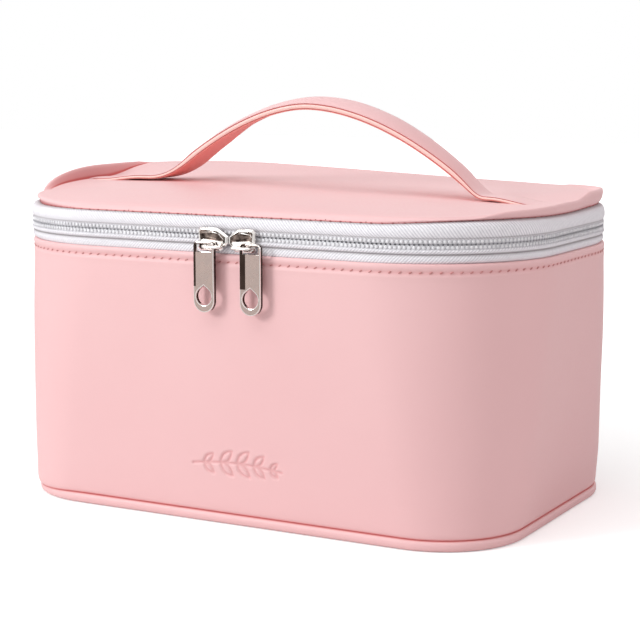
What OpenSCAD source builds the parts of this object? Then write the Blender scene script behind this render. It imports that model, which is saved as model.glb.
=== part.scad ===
// A soft, zip-round cosmetic case of artificial leather, with a strap on its lid.
// +X runs to the right along the front, +Z is up, and the front faces -Y.
// The origin lies on the surface the case stands on, under the middle of its plan.

/* [Case] */
// Width of the case at the zip
case_w = 230; // [200:1:260]
// Depth of the case at the zip
case_d = 152; // [136:1:180]
// Corner radius of the plan at the zip
corner_r = 55; // [45:1:60]
// Height of the wall, up to its top edge
wall_h = 107.4; // [90:0.2:130]
// How far each side draws in from the zip to the base
base_inset = 4.5; // [1:0.1:8]
// Corner radius of the plan at the base
base_corner_r = 35; // [25:1:45]
// How far the middle of each wall bows outwards
wall_bow = 1.4; // [0:0.1:3]
// Height of the rolled welt around the base
welt_h = 5; // [5:0.1:7]

/* [Layers] */
// Thickness of the artificial leather
leather_t = 1.2; // [0.8:0.1:1.6]
// Thickness of the foam board in the wall, the base and the lid
board_t = 2.4; // [1.8:0.1:3.2]
// Thickness of the lining cloth
lining_t = 0.6; // [0.4:0.1:0.9]
// Thickness of the bias binding over the raw edges inside
binding_t = 0.6; // [0.4:0.1:0.9]
// Thickness of the zip tape and of the hinge strip
hem_t = 0.8; // [0.5:0.1:1]
// Air left beside a sewn-in hem
ply_gap = 0.15; // [0.12:0.01:0.25]

/* [Zip] */
// Height of the tape that shows below the coil
lower_tape_h = 2.2; // [1.6:0.1:4]
// Height of one row of the coil
coil_h = 2.7; // [2:0.1:3.4]
// Depth of the coil, square to the tape
coil_d = 2; // [1.4:0.1:2.6]
// Space between the two rows of the coil
coil_gap = 1; // [0.8:0.05:1.4]
// Height of the tape that shows above the coil
upper_tape_h = 5.6; // [4.5:0.1:8]
// How deep each tape is sewn in below the edge of the wall
hem_h = 10; // [8:0.5:14]
// Where the noses of the two sliders meet, from the middle of the front
meet_x = 6.5; // [-15:0.1:15]

/* [Slider] */
// Length of a slider along the zip
slider_l = 13; // [12:0.1:18]
// Height of a slider at its nose
slider_h = 9.6; // [9:0.1:13]
// Height of a slider at its tail
slider_tail_h = 8.4; // [7:0.1:10]
// Thickness of a slider's two plates
plate_t = 1; // [0.7:0.1:1.3]
// Air between a slider and the coil
slider_gap = 0.4; // [0.3:0.05:0.6]
// Air between the noses of the two sliders
nose_gap = 0.3; // [0.2:0.05:1]
// Thickness of the bail's wire
bail_wire = 1.2; // [0.8:0.1:1.6]
// Distance between the two legs of a bail
bail_span = 7.6; // [7.4:0.1:8.4]

/* [Pull] */
// Width of a pull
pull_w = 9.2; // [8:0.1:11]
// Length of a pull
pull_l = 27.3; // [22:0.1:34]
// Thickness of a pull
pull_t = 2; // [1.4:0.1:2.6]
// Width of the bars around the window that hangs on the bail
pull_bar = 1.2; // [0.9:0.1:2]
// Height of that window
window_h = 2.5; // [2.2:0.1:6]
// Width of the drop-shaped hole near the lower end
drop_w = 6.8; // [5:0.1:7]
// Metal below that hole
drop_low = 2.8; // [2:0.1:5]
// Air between the pull, its slider and the bail
pull_gap = 0.6; // [0.4:0.05:1]
// How far the bail's front bar lies below the middle of the zip
hook_drop = 2.4; // [2:0.1:2.8]
// Air between a bail's wire and the top of the window
hang_gap = 0.05; // [0.02:0.01:0.1]
// How far the left pull hangs from the nose of its slider
left_pull_reach = 10.55; // [10:0.05:11]
// How far the right pull hangs from the nose of its slider
right_pull_reach = 9.75; // [9.5:0.05:10.5]

/* [Lid] */
// How far the lid's edge lies inside the zip
lid_inset = 2; // [1:0.1:3]
// Height of the lid's side at the front
lid_side_h = 3; // [2.6:0.1:5]
// How far the edge of the lid rises at its left end
left_rise = 9.4; // [2:0.1:11]
// How far the edge of the lid rises at its right end
right_rise = 2.9; // [2:0.1:8]
// How far the edge stands above the panel at the left end
left_stand = 5.6; // [1:0.1:6]
// How far the edge stands above the panel at the right end
right_stand = 2.4; // [1:0.1:4]
// Thickness of the folded edge
fold_t = 2.4; // [2:0.1:3]
// Height of the panel's middle above its seam
crown_h = 6.2; // [5:0.1:10]

/* [Handle] */
// Width of the strap
strap_w = 16; // [12:1:24]
// Thickness of each of the strap's two leather layers
strap_t = 0.8; // [0.6:0.1:1.2]
// Thickness of the foam between them in the arch
core_t = 1.4; // [0.8:0.1:2.6]
// Where the strap leaves the lid on the left
foot_left = -68.5; // [-80:0.5:-60]
// Where the strap leaves the lid on the right
foot_right = 73.5; // [60:0.5:80]
// Height of the arch above its feet
arch_h = 32.7; // [26:0.1:45]
// Air between the strap and the lid
strap_gap = 0.3; // [0.2:0.05:0.5]

/* [Hinge] */
// How far the fold line of the lid lies behind the wall
fold_out = 1; // [0.8:0.1:2]
// Air between the hinge strip and the lid
hinge_gap = 0.3; // [0.2:0.05:0.5]
// How far the hinge strip bulges outwards between wall and lid
hinge_bulge = 0.8; // [0.2:0.1:1.2]

/* [Hidden] */
leather = [0.93, 0.72, 0.72];
leather_deep = [0.91, 0.55, 0.52];
zip_white = [0.93, 0.93, 0.95];
lining_cloth = [0.90, 0.80, 0.80];
foam = [0.85, 0.85, 0.83];
metal = [0.72, 0.70, 0.68];

corner_steps = 14;   // points around one corner
side_steps = 4;      // pieces of one straight side
wall_steps = 6;      // rings up the wall
dome_rings = [0.93, 0.82, 0.66, 0.46, 0.24];   // shares of the plan, from edge to middle
dome_power = 2.2;    // how late the dome falls to its edge
crown_tilt = -0.02;  // rise of the lid's middle line to the right
rise_start = -40;    // where the edge of the lid starts to rise, along Y
rise_run = 50;       // how far it takes
rise_power = 2.6;    // how steeply it starts
stand_start = 5;     // where the panel starts to rise to meet the edge, along Y
stand_run = 38;      // how far it takes
stand_loss = 0.9;    // share of the edge's stand that is lost there
tip_rise = 1.25;     // height of the drop's tip, in radii of its round part
round_fn = 48;
welt_roll = 0.7;     // how far the welt's edges are rounded
arch_power = 1.77;   // 2 is a parabola, less is more pointed
arch_steps = 40;     // pieces of the strap's arch
flat_steps = 6;      // pieces of each of its flat ends
core_run = 12;       // length over which the foam thins out beside each foot
probe = 0.5;         // step used to find the strap's slope
binding_h = 6;       // height of the binding around the wall's upper edge
lid_binding_h = 4;   // how far the lid's binding reaches below the lid's seam
hinge_lap = 8;       // how far the hinge's lining reaches down inside the wall

coil_z = wall_h + lower_tape_h;
row_gap_z = coil_z + coil_h;
upper_coil_z = row_gap_z + coil_gap;
coil_top_z = upper_coil_z + coil_h;
lid_z = coil_top_z + upper_tape_h;
straight_z = wall_h - hem_h;
hem_out = -leather_t - ply_gap;            // outer face of a sewn-in hem, from the zip's plan
hem_in = hem_out - hem_t;
wall_in = -leather_t - board_t - lining_t; // inner face of the wall
board_top = wall_h - 1;
coil_out = hem_out + coil_d;
fold_z = (wall_h + lid_z) / 2;
lid_hem_out = -lid_inset - leather_t - ply_gap;
lid_edge_in = lid_inset + fold_t + 0.1;    // from the zip's plan to the panel's own edge
panel_under_z = lid_z + lid_side_h - leather_t - 3 * ply_gap;   // underside of the panel beside its fold
lid_hem_top = panel_under_z - ply_gap;
floor_z = leather_t + board_t;             // underside of the floor's lining

plate_out = coil_out + slider_gap;         // inner face of a slider's outer plate
plate_face = plate_out + plate_t;
back_plate = hem_in - slider_gap + 0.05;   // outer face of its inner plate
back_plate_h = coil_top_z - coil_z + slider_gap;
slider_z = (row_gap_z + upper_coil_z) / 2;
post_h = coil_gap - slider_gap;
post_l = 4;
bail_bend = 1.2;      // bend of the bail's wire, at the middle of the wire
pull_out = plate_face + pull_gap;
bail_out = pull_out + pull_t + pull_gap + bail_wire / 2;
hook_z = slider_z - hook_drop;
window_top = hook_z + bail_wire / 2 + hang_gap;
pull_top = window_top + pull_bar;

function mix(a, b, t) = a + (b - a) * t;
function ease(t) = let (u = min(1, max(0, t))) u * u * (3 - 2 * u);

// Points around a rounded rectangle, the same number for every size.
function corner_points(w, d, r, quarter) =
    let (cx = ((quarter == 0 || quarter == 3) ? 1 : -1) * (w / 2 - r))
    let (cy = (quarter < 2 ? 1 : -1) * (d / 2 - r))
    [for (i = [0 : corner_steps])
        let (a = 90 * (quarter + i / corner_steps))
        [cx + r * cos(a), cy + r * sin(a)]];

function side_points(p, q) = [for (i = [1 : side_steps - 1]) mix(p, q, i / side_steps)];

function plan_points(w, d, r) =
    let (c = [for (quarter = [0 : 3]) corner_points(w, d, r, quarter)])
    [for (quarter = [0 : 3])
        each concat(c[quarter], side_points(c[quarter][corner_steps], c[(quarter + 1) % 4][0]))];

// A ring of the wall at height z, inset square to its outer face.
function wall_ring(z, inset) =
    let (t = min(1, max(0, (z - welt_h) / (straight_z - welt_h))))
    let (w = case_w - 2 * base_inset * (1 - t) - 2 * inset)
    let (d = case_d - 2 * base_inset * (1 - t) - 2 * inset)
    let (push = wall_bow * sin(180 * t))
    [for (p = plan_points(w, d, mix(base_corner_r, corner_r, t) - inset))
        [p.x * (1 + 2 * push / w * (1 - pow(2 * p.y / d, 2))),
         p.y * (1 + 2 * push / d * (1 - pow(2 * p.x / w, 2))), z]];

wall_levels = concat([for (i = [0 : wall_steps]) mix(welt_h, straight_z, i / wall_steps)], [wall_h]);
board_levels = concat([for (i = [0 : wall_steps]) mix(welt_h, straight_z, i / wall_steps)], [board_top]);

function reversed(list) = [for (i = [len(list) - 1 : -1 : 0]) list[i]];

// Skin from one ring to the next. Its diagonals lie the same way whether the rings rise or fall,
// so that two shells that share a surface also share its triangles.
function ring_faces(n, from, to, rising) = [for (i = [0 : n - 1])
    let (j = (i + 1) % n)
    each (rising
        ? [[from + i, to + j, from + j], [from + i, to + i, to + j]]
        : [[from + i, to + i, from + j], [from + j, to + i, to + j]])];

function rises(ring, next) = next[0].z > ring[0].z;

module closed_band(rings) {
    n = len(rings[0]);
    m = len(rings);
    polyhedron(
        points = [for (ring = rings) each ring],
        faces = [for (k = [0 : m - 1])
            let (next = (k + 1) % m)
            each ring_faces(n, k * n, next * n, rises(rings[k], rings[next]))]
    );
}

// A skin from one middle point over the rings to the other middle point.
module capped_shell(first, rings, last) {
    n = len(rings[0]);
    m = len(rings);
    polyhedron(
        points = concat([first], [for (ring = rings) each ring], [last]),
        faces = concat(
            [for (i = [0 : n - 1]) [0, 1 + i, 1 + (i + 1) % n]],
            [for (k = [0 : m - 2])
                each ring_faces(n, 1 + k * n, 1 + (k + 1) * n, rises(rings[k], rings[k + 1]))],
            [for (i = [0 : n - 1]) [m * n + 1, 1 + (m - 1) * n + (i + 1) % n, 1 + (m - 1) * n + i]]
        )
    );
}

// Shell of the wall between two insets.
module wall_shell(levels, outer, inner) {
    closed_band(concat(
        [for (z = levels) wall_ring(z, outer)],
        [for (z = reversed(levels)) wall_ring(z, inner)]
    ));
}

// A section swept around the plan, with the sides named: 0 right, 1 back, 2 left, 3 front.
module around(w, d, r, sides) {
    for (quarter = [0 : 3]) {
        translate([
            ((quarter == 0 || quarter == 3) ? 1 : -1) * (w / 2 - r),
            (quarter < 2 ? 1 : -1) * (d / 2 - r), 0])
        rotate(90 * quarter)
        rotate_extrude(angle = 90, $fn = 4 * round_fn)
        translate([r, 0])
        children();
    }
    for (side = sides) {
        run = (side % 2 == 0 ? d : w) - 2 * r;
        rotate(90 * side)
        translate([(side % 2 == 0 ? w : d) / 2, 0, 0])
        rotate([90, 0, 0])
        linear_extrude(run, center = true)
        children();
    }
}

module around_zip(sides = [0, 2, 3]) {
    around(case_w, case_d, corner_r, sides) children();
}

// A section that runs along the straight stretch of the back.
module along_back(length) {
    translate([0, case_d / 2, 0])
    rotate([90, 0, 90])
    linear_extrude(length, center = true)
    children();
}

module plan(w, d, r) {
    square([w - 2 * r, d], center = true);
    square([w, d - 2 * r], center = true);
    for (x = [-1, 1], y = [-1, 1]) {
        translate([x * (w / 2 - r), y * (d / 2 - r)]) circle(r, $fn = 4 * round_fn);
    }
}

// ---- the case ----

module outer_wall() {
    color(leather) wall_shell(wall_levels, 0, leather_t);
}

module wall_board() {
    recess = hem_t + 2 * ply_gap;
    color(foam) closed_band(concat(
        [for (i = [0 : wall_steps]) wall_ring(board_levels[i], leather_t)],
        [wall_ring(straight_z, leather_t + recess), wall_ring(board_top, leather_t + recess)],
        [for (z = reversed(board_levels)) wall_ring(z, leather_t + board_t)]
    ));
}

module wall_lining() {
    color(lining_cloth) wall_shell(board_levels, leather_t + board_t, leather_t + board_t + lining_t);
}

module wall_binding() {
    inner = wall_in - ply_gap - binding_t;
    low = board_top - binding_h;
    color(lining_cloth) around_zip([0, 1, 2, 3]) polygon([
        [inner, low], [wall_in - ply_gap, low], [wall_in - ply_gap, board_top],
        [hem_in - ply_gap, board_top], [hem_in - ply_gap, board_top + binding_t],
        [inner, board_top + binding_t]
    ]);
}

module base_plan(inset, low, thickness) {
    translate([0, 0, low])
    linear_extrude(thickness)
    plan(case_w - 2 * (base_inset + inset), case_d - 2 * (base_inset + inset), base_corner_r - inset);
}

module base_panel() {
    color(leather) base_plan(-wall_in + ply_gap, 0, leather_t);
}

module base_board() {
    color(foam) base_plan(-wall_in + ply_gap, leather_t, board_t);
}

module base_lining() {
    color(lining_cloth) base_plan(-wall_in + ply_gap, floor_z, lining_t);
}

module base_welt() {
    color(leather)
    around(case_w - 2 * base_inset, case_d - 2 * base_inset, base_corner_r, [0, 1, 2, 3]) {
        translate([wall_in, 0]) square([-wall_in - welt_roll, welt_h]);
        translate([wall_in, welt_roll]) square([-wall_in, welt_h - 2 * welt_roll]);
        for (z = [welt_roll, welt_h - welt_roll]) {
            translate([-welt_roll, z]) circle(welt_roll, $fn = round_fn);
        }
    }
}

module lower_zip_tape() {
    color(zip_white) around_zip() translate([hem_in, straight_z]) square([hem_t, row_gap_z - straight_z]);
}

module coil_section() {
    flat = coil_d - coil_h / 2;
    square([flat, coil_h]);
    intersection() {
        translate([flat, coil_h / 2]) circle(coil_h / 2, $fn = round_fn);
        square([coil_d, coil_h]);
    }
}

module lower_zip_coil() {
    color(zip_white) around_zip() translate([hem_out, coil_z]) coil_section();
}

module hinge_strip() {
    lean = -lid_inset - ply_gap;
    top = lid_z - hinge_gap;
    color(leather) along_back(case_w - 2 * corner_r) polygon([
        [hem_out, straight_z], [hem_out, wall_h], [hem_out + hinge_bulge, fold_z], [lean, top],
        [lean - hem_t, top], [hem_in + hinge_bulge, fold_z], [hem_in, wall_h], [hem_in, straight_z]
    ]);
}

module hinge_lining() {
    face = wall_in - 2 * ply_gap - binding_t;
    low = board_top - hinge_lap;
    high = lid_z - lid_binding_h - hinge_gap;
    color(lining_cloth) along_back(case_w - 2 * corner_r)
        translate([face - lining_t, low]) square([lining_t, high - low]);
}

// ---- the lid ----

function plan_share(x) = x / case_w + 0.5;
function edge_share(y) = 1 - pow(1 - min(1, max(0, (y - rise_start) / rise_run)), rise_power);
function stand_share(y) = edge_share(y) * (1 - stand_loss * ease((y - stand_start) / stand_run));
function edge_rise(x) = mix(left_rise, right_rise, ease(plan_share(x)));
function edge_stand(x) = min(mix(left_stand, right_stand, ease(plan_share(x))), edge_rise(x));
function fold_top(p) = lid_z + lid_side_h + edge_rise(p.x) * edge_share(p.y);
function panel_edge(p) = fold_top(p) - edge_stand(p.x) * stand_share(p.y);
function crown(x) = lid_z + crown_h + crown_tilt * x;
function panel_z(p, edge, share) = mix(crown(p.x), panel_edge(edge), pow(share, dome_power));

function lid_plan(inset) = plan_points(case_w - 2 * inset, case_d - 2 * inset, corner_r - inset);

// A ring of the panel: the panel's own edge drawn in to a share of its size.
function dome_ring(share, drop, inset = lid_edge_in) = [for (e = lid_plan(inset))
    [e.x * share, e.y * share, panel_z(e * share, e, share) - drop]];

function dome_top(drop) = [for (share = dome_rings) dome_ring(share, drop)];
function middle(drop) = [0, 0, crown(0) - drop];

// A ring of the folded edge, which stands up from the lid's seam.
function fold_ring(inset, below) = [for (p = lid_plan(inset)) [p.x, p.y, fold_top(p) - below]];
function level_ring(inset, z) = [for (p = lid_plan(inset)) [p.x, p.y, z]];

module lid_panel() {
    roll = 0.6;
    color(leather) capped_shell(
        middle(leather_t),
        concat(
            reversed(dome_top(leather_t)),
            [dome_ring(1, leather_t)],
            [level_ring(lid_inset + leather_t, panel_under_z)],
            [level_ring(lid_inset + leather_t, lid_z), level_ring(lid_inset, lid_z)],
            [fold_ring(lid_inset, roll), fold_ring(lid_inset + roll, 0)],
            [fold_ring(lid_inset + fold_t - roll, 0), dome_ring(1, 0)],
            dome_top(0)
        ),
        middle(0)
    );
}

// A layer of the lid below the panel.
module lid_layer(top, bottom) {
    capped_shell(
        middle(bottom),
        concat(
            reversed(dome_top(bottom)),
            [dome_ring(1, bottom), dome_ring(1, top)],
            dome_top(top)
        ),
        middle(top)
    );
}

module lid_board() {
    color(foam) lid_layer(leather_t, leather_t + board_t);
}

module lid_lining() {
    color(lining_cloth) lid_layer(leather_t + board_t, leather_t + board_t + lining_t);
}

module lid_binding() {
    outer = lid_hem_out - hem_t - ply_gap;
    high = lid_z + lid_side_h - leather_t - board_t - lining_t - ply_gap;
    low = lid_z - lid_binding_h;
    color(lining_cloth) around_zip([0, 1, 2, 3])
        translate([outer - binding_t, low]) square([binding_t, high - low]);
}

module upper_zip_tape() {
    color(zip_white) around_zip() polygon([
        [hem_in, upper_coil_z], [hem_out, upper_coil_z], [hem_out, coil_top_z],
        [lid_hem_out, lid_z], [lid_hem_out, lid_hem_top],
        [lid_hem_out - hem_t, lid_hem_top], [lid_hem_out - hem_t, lid_z], [hem_in, coil_top_z]
    ]);
}

module upper_zip_coil() {
    color(zip_white) around_zip() translate([hem_out, upper_coil_z]) coil_section();
}

// ---- the handle ----

// Height of the lid's panel under the strap, at its highest across the strap's width.
function seat_z(x) =
    let (edge_x = case_w / 2 - lid_edge_in)
    let (share = min(1, abs(x) / edge_x))
    let (edge = [(x < 0 ? -1 : 1) * edge_x, strap_w / 2])
    panel_z([x, 0], edge, share) + strap_gap;

function arch_z(x) =
    let (mid = (foot_left + foot_right) / 2)
    let (u = abs(x - mid) / ((foot_right - foot_left) / 2))
    mix(seat_z(foot_left), seat_z(foot_right), (x - foot_left) / (foot_right - foot_left))
    + arch_h * (1 - pow(u, arch_power));

function strap_z(x) = (x <= foot_left || x >= foot_right) ? seat_z(x) : max(seat_z(x), arch_z(x));

strap_end = case_w / 2 - lid_edge_in - strap_gap;
strap_x = concat(
    [for (i = [0 : flat_steps - 1]) mix(-strap_end, foot_left, i / flat_steps)],
    [for (i = [0 : arch_steps]) mix(foot_left, foot_right, i / arch_steps)],
    [for (i = [1 : flat_steps]) mix(foot_right, strap_end, i / flat_steps)]
);

// A point of the strap at x, lifted square to its slope.
function strap_point(x, lift) =
    let (rise = (strap_z(x + probe) - strap_z(x - probe)) / (2 * probe))
    let (tall = norm([1, rise]))
    [x - lift * rise / tall, strap_z(x) + lift / tall];

// Thickness of the foam at x, which is nothing on the flat ends.
function foam_t(x) = core_t * ease(min(x - foot_left, foot_right - x) / core_run);

foam_x = [for (x = strap_x) if (foam_t(x) > 0) x];

module strap_section(points) {
    rotate([90, 0, 0])
    linear_extrude(strap_w, center = true)
    polygon(points);
}

module handle_under_strap() {
    color(leather_deep) strap_section(concat(
        [for (x = strap_x) strap_point(x, 0)],
        [for (x = reversed(strap_x)) strap_point(x, strap_t)]
    ));
}

module handle_core() {
    color(foam) strap_section(concat(
        [strap_point(foot_left, strap_t)],
        [for (x = foam_x) strap_point(x, strap_t)],
        [strap_point(foot_right, strap_t)],
        [for (x = reversed(foam_x)) strap_point(x, strap_t + foam_t(x))]
    ));
}

module handle_top_strap() {
    color(leather) strap_section(concat(
        [for (x = strap_x) strap_point(x, strap_t + foam_t(x))],
        [for (x = reversed(strap_x)) strap_point(x, 2 * strap_t + foam_t(x))]
    ));
}

// ---- sliders and pulls, drawn with the nose at X = 0 and the tail towards -X ----

module at_front(out) {
    translate([0, -case_d / 2 - out, 0]) children();
}

// A plate that stands upright along the zip, from out towards the case.
module upright(out, thickness) {
    at_front(out)
    rotate([-90, 0, 0])
    mirror([0, 1, 0])
    linear_extrude(thickness)
    children();
}

module slider_face() {
    nose_r = slider_h / 2;
    tail_r = slider_tail_h / 2;
    translate([0, slider_z]) intersection() {
        union() {
            translate([-nose_r, 0]) circle(nose_r, $fn = round_fn);
            translate([-slider_l + tail_r, 0]) circle(tail_r, $fn = round_fn);
            polygon([
                [-nose_r, nose_r], [-slider_l + tail_r, tail_r],
                [-slider_l + tail_r, -tail_r], [-nose_r, -nose_r]
            ]);
        }
        translate([-slider_l, -nose_r]) square([slider_l, slider_h]);
    }
}

module slider_body() {
    color(metal) {
        upright(plate_face, plate_t) slider_face();
        upright(back_plate, plate_t) translate([-slider_l + 1, coil_z]) square([slider_l - 2, back_plate_h]);
        upright(plate_out + plate_t / 2, plate_out - back_plate + plate_t)
            translate([-post_l - 1, row_gap_z + slider_gap / 2]) square([post_l, post_h]);
    }
}

module bail(reach) {
    wire_r = bail_wire / 2;
    color(metal) for (flip = [0, 1]) {
        translate([-reach + bail_span / 2, -case_d / 2 - bail_out, hook_z])
        mirror([flip, 0, 0])
        translate([bail_span / 2 - bail_bend, 0, 0]) {
            translate([bail_bend, bail_bend, 0])
                rotate([-90, 0, 0]) cylinder(h = bail_out - plate_face - bail_bend, r = wire_r, $fn = round_fn);
            translate([0, bail_bend, 0])
                rotate(-90) rotate_extrude(angle = 90, $fn = 2 * round_fn)
                translate([bail_bend, 0]) circle(wire_r, $fn = round_fn);
            rotate([0, -90, 0]) cylinder(h = bail_span / 2 - bail_bend, r = wire_r, $fn = round_fn);
        }
    }
}

module pull_face() {
    end_r = pull_w / 2;
    top_r = 2;
    low = pull_top - pull_l;
    drop_r = drop_w / 2;
    drop_z = low + drop_low + drop_r;
    side = acos(1 / tip_rise);   // where the drop's straight flanks leave its round part, from the top
    difference() {
        union() {
            translate([0, low + end_r]) circle(end_r, $fn = 2 * round_fn);
            translate([-end_r, low + end_r]) square([pull_w, pull_l - end_r - top_r]);
            translate([-end_r + top_r, low + end_r]) square([pull_w - 2 * top_r, pull_l - end_r]);
            for (x = [-1, 1]) {
                translate([x * (end_r - top_r), pull_top - top_r]) circle(top_r, $fn = round_fn);
            }
        }
        translate([-end_r + pull_bar, window_top - window_h]) square([pull_w - 2 * pull_bar, window_h]);
        translate([0, drop_z]) circle(drop_r, $fn = round_fn);
        translate([0, drop_z]) polygon([
            [-drop_r * sin(side), drop_r * cos(side)],
            [0, tip_rise * drop_r],
            [drop_r * sin(side), drop_r * cos(side)],
            [0, 0]
        ]);
    }
}

module pull() {
    color(metal) upright(pull_out + pull_t, pull_t) pull_face();
}

module left_side() {
    translate([meet_x - nose_gap / 2, 0, 0]) children();
}

module right_side() {
    translate([meet_x + nose_gap / 2, 0, 0]) mirror([1, 0, 0]) children();
}

module slider_left_body() { left_side() slider_body(); }
module slider_left_bail() { left_side() bail(left_pull_reach); }
module pull_left() { left_side() translate([-left_pull_reach, 0, 0]) pull(); }
module slider_right_body() { right_side() slider_body(); }
module slider_right_bail() { right_side() bail(right_pull_reach); }
module pull_right() { right_side() translate([-right_pull_reach, 0, 0]) pull(); }

outer_wall();
wall_board();
wall_lining();
wall_binding();
base_panel();
base_board();
base_lining();
base_welt();
lower_zip_tape();
lower_zip_coil();
hinge_strip();
hinge_lining();
lid_panel();
lid_board();
lid_lining();
lid_binding();
upper_zip_tape();
upper_zip_coil();
handle_top_strap();
handle_core();
handle_under_strap();
slider_left_body();
slider_left_bail();
pull_left();
slider_right_body();
slider_right_bail();
pull_right();
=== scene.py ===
import math
import bmesh
import bpy
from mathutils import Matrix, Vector, noise
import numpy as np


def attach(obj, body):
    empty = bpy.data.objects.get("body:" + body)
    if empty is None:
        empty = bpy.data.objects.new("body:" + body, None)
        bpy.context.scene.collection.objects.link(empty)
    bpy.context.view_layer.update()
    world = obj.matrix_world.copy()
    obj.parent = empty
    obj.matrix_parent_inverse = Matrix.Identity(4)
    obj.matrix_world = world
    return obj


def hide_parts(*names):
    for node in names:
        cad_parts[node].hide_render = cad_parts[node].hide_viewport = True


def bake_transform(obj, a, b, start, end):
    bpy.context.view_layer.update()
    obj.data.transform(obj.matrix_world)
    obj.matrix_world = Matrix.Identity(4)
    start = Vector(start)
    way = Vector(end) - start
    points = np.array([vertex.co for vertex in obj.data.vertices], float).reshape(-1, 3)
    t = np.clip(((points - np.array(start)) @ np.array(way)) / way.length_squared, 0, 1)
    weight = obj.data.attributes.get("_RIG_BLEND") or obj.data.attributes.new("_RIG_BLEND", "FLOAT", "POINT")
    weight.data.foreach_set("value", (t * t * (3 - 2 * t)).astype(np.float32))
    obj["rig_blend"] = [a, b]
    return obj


# Soft zip-round cosmetic case. Sizes are in millimetres until a mesh is made.
# +X right along the front, +Z up, the front faces -Y, the origin on the table under the case.

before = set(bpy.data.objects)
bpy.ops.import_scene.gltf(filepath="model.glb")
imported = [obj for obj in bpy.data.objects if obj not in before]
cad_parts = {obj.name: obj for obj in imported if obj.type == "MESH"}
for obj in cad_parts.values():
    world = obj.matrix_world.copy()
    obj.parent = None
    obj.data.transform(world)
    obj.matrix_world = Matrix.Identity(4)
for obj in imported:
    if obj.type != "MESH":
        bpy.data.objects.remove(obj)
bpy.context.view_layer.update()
print("frame loaded")

mm = 0.001

# The construction's own sizes, which the dressed pieces follow.
case = {
    "width": 230, "depth": 152, "corner": 55, "baseInset": 4.5, "baseCorner": 35, "bow": 1.4,
    "weltTop": 5, "straightZ": 97.4, "lidZ": 121.6, "lidInset": 2, "lidSide": 3, "panelInset": 4.5,
    # how high the lid's edge climbs towards the back, and how far it stands over the panel
    "leftRise": 9.4, "rightRise": 2.9, "leftStand": 5.6, "rightStand": 2.4,
    "riseStart": -40, "riseRun": 50, "risePower": 2.6, "standStart": 5, "standRun": 38, "standLoss": 0.9,
    "crown": 6.2, "crownTilt": -0.02, "domePower": 2.2,
}


def mix(a, b, t):
    return a + (b - a) * t


def ease(t):
    u = min(1, max(0, t))
    return u * u * (3 - 2 * u)


def bump(x, centre, half):
    # 1 at the centre, 0 beyond half on either side
    return ease(1 - abs(x - centre) / half)


def linkObject(name, data):
    made = bpy.data.objects.new(name, data)
    bpy.context.scene.collection.objects.link(made)
    return made


def node(tree, kind, values=None, **settings):
    # values that are other nodes' sockets are linked, the rest are set
    made = tree.nodes.new(kind if "Node" in kind else "ShaderNode" + kind)
    for key, value in settings.items():
        setattr(made, key, value)
    return fillNode(tree, made, values or {})


def fillNode(tree, made, values):
    for key, value in values.items():
        if isinstance(value, bpy.types.NodeSocket):
            tree.links.new(value, made.inputs[key])
        else:
            made.inputs[key].default_value = value
    return made


def maths(tree, operation, *inputs, clamp=False):
    return node(tree, "Math", dict(enumerate(inputs)), operation=operation, use_clamp=clamp).outputs[0]


def mapped(tree, value, low, high, toLow, toHigh):
    values = {"Value": value, "From Min": low, "From Max": high, "To Min": toLow, "To Max": toHigh}
    return node(tree, "MapRange", values).outputs["Result"]


def newMaterial(name):
    material = bpy.data.materials.new(name)
    material.use_nodes = True
    return material, material.node_tree, material.node_tree.nodes["Principled BSDF"]


# camera, light and floor
view = {
    "azimuth": 28.685, "elevation": 8.443, "distance": 736.83, "target": (2.31, 0, 72.05),
    "lens": 98.36, "sensor": 36,
}
lights = {
    # energy in watts, size and place in metres, aimed at the case
    "key": {"energy": 15.6, "size": (0.55, 0.6), "place": (-1.0, -1.4, 0.75), "colour": (0.965, 1, 1)},
    "side": {"energy": 4.9, "size": (0.9, 0.9), "place": (1.55, 0.25, 0.55), "colour": (1, 0.91, 0.91)},
    "top": {"energy": 12.8, "size": (1.3, 1.6), "place": (-0.15, -0.42, 1.38), "colour": (0.965, 1, 1)},
}
surround = {
    "light": 0.315, "floorColour": (0.84, 0.83, 0.83), "floorSize": 6.0,
    # the paper turns white with distance
    "nearGlow": 0.40, "farGlow": 1.0, "glowFrom": 0.2, "glowTo": 0.9,
}
aimPoint = (0, 0, 0.07)


def setCamera():
    a, e = math.radians(view["azimuth"]), math.radians(view["elevation"])
    away = Vector((math.sin(a) * math.cos(e), -math.cos(a) * math.cos(e), math.sin(e)))
    data = bpy.data.cameras.new("camera")
    data.lens = view["lens"]
    data.sensor_width = view["sensor"]
    camera = linkObject("camera", data)
    camera.location = (Vector(view["target"]) + away * view["distance"]) * mm
    camera.rotation_euler = (-away).to_track_quat("-Z", "Y").to_euler()
    bpy.context.scene.camera = camera


def areaLight(name, energy, size, place, colour):
    data = bpy.data.lights.new(name, "AREA")
    data.shape = "RECTANGLE"
    data.size, data.size_y = size
    data.energy = energy
    data.color = colour
    lamp = linkObject(name, data)
    lamp.location = place
    lamp.rotation_euler = (Vector(aimPoint) - Vector(place)).to_track_quat("-Z", "Y").to_euler()


def setWorld():
    # a plain pale surround: white where the camera or a mirror sees it, softer as light
    bpy.context.scene.view_settings.view_transform = "Standard"
    world = bpy.data.worlds.new("surround")
    bpy.context.scene.world = world
    world.use_nodes = True
    tree = world.node_tree
    tree.nodes.clear()
    path = node(tree, "LightPath").outputs
    seen = maths(tree, "MAXIMUM", path["Is Camera Ray"], path["Is Glossy Ray"])
    strength = mapped(tree, seen, 0, 1, surround["light"], 1)
    back = node(tree, "Background", {"Color": (1, 1, 1, 1), "Strength": strength})
    node(tree, "OutputWorld", {"Surface": back.outputs["Background"]})


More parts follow.
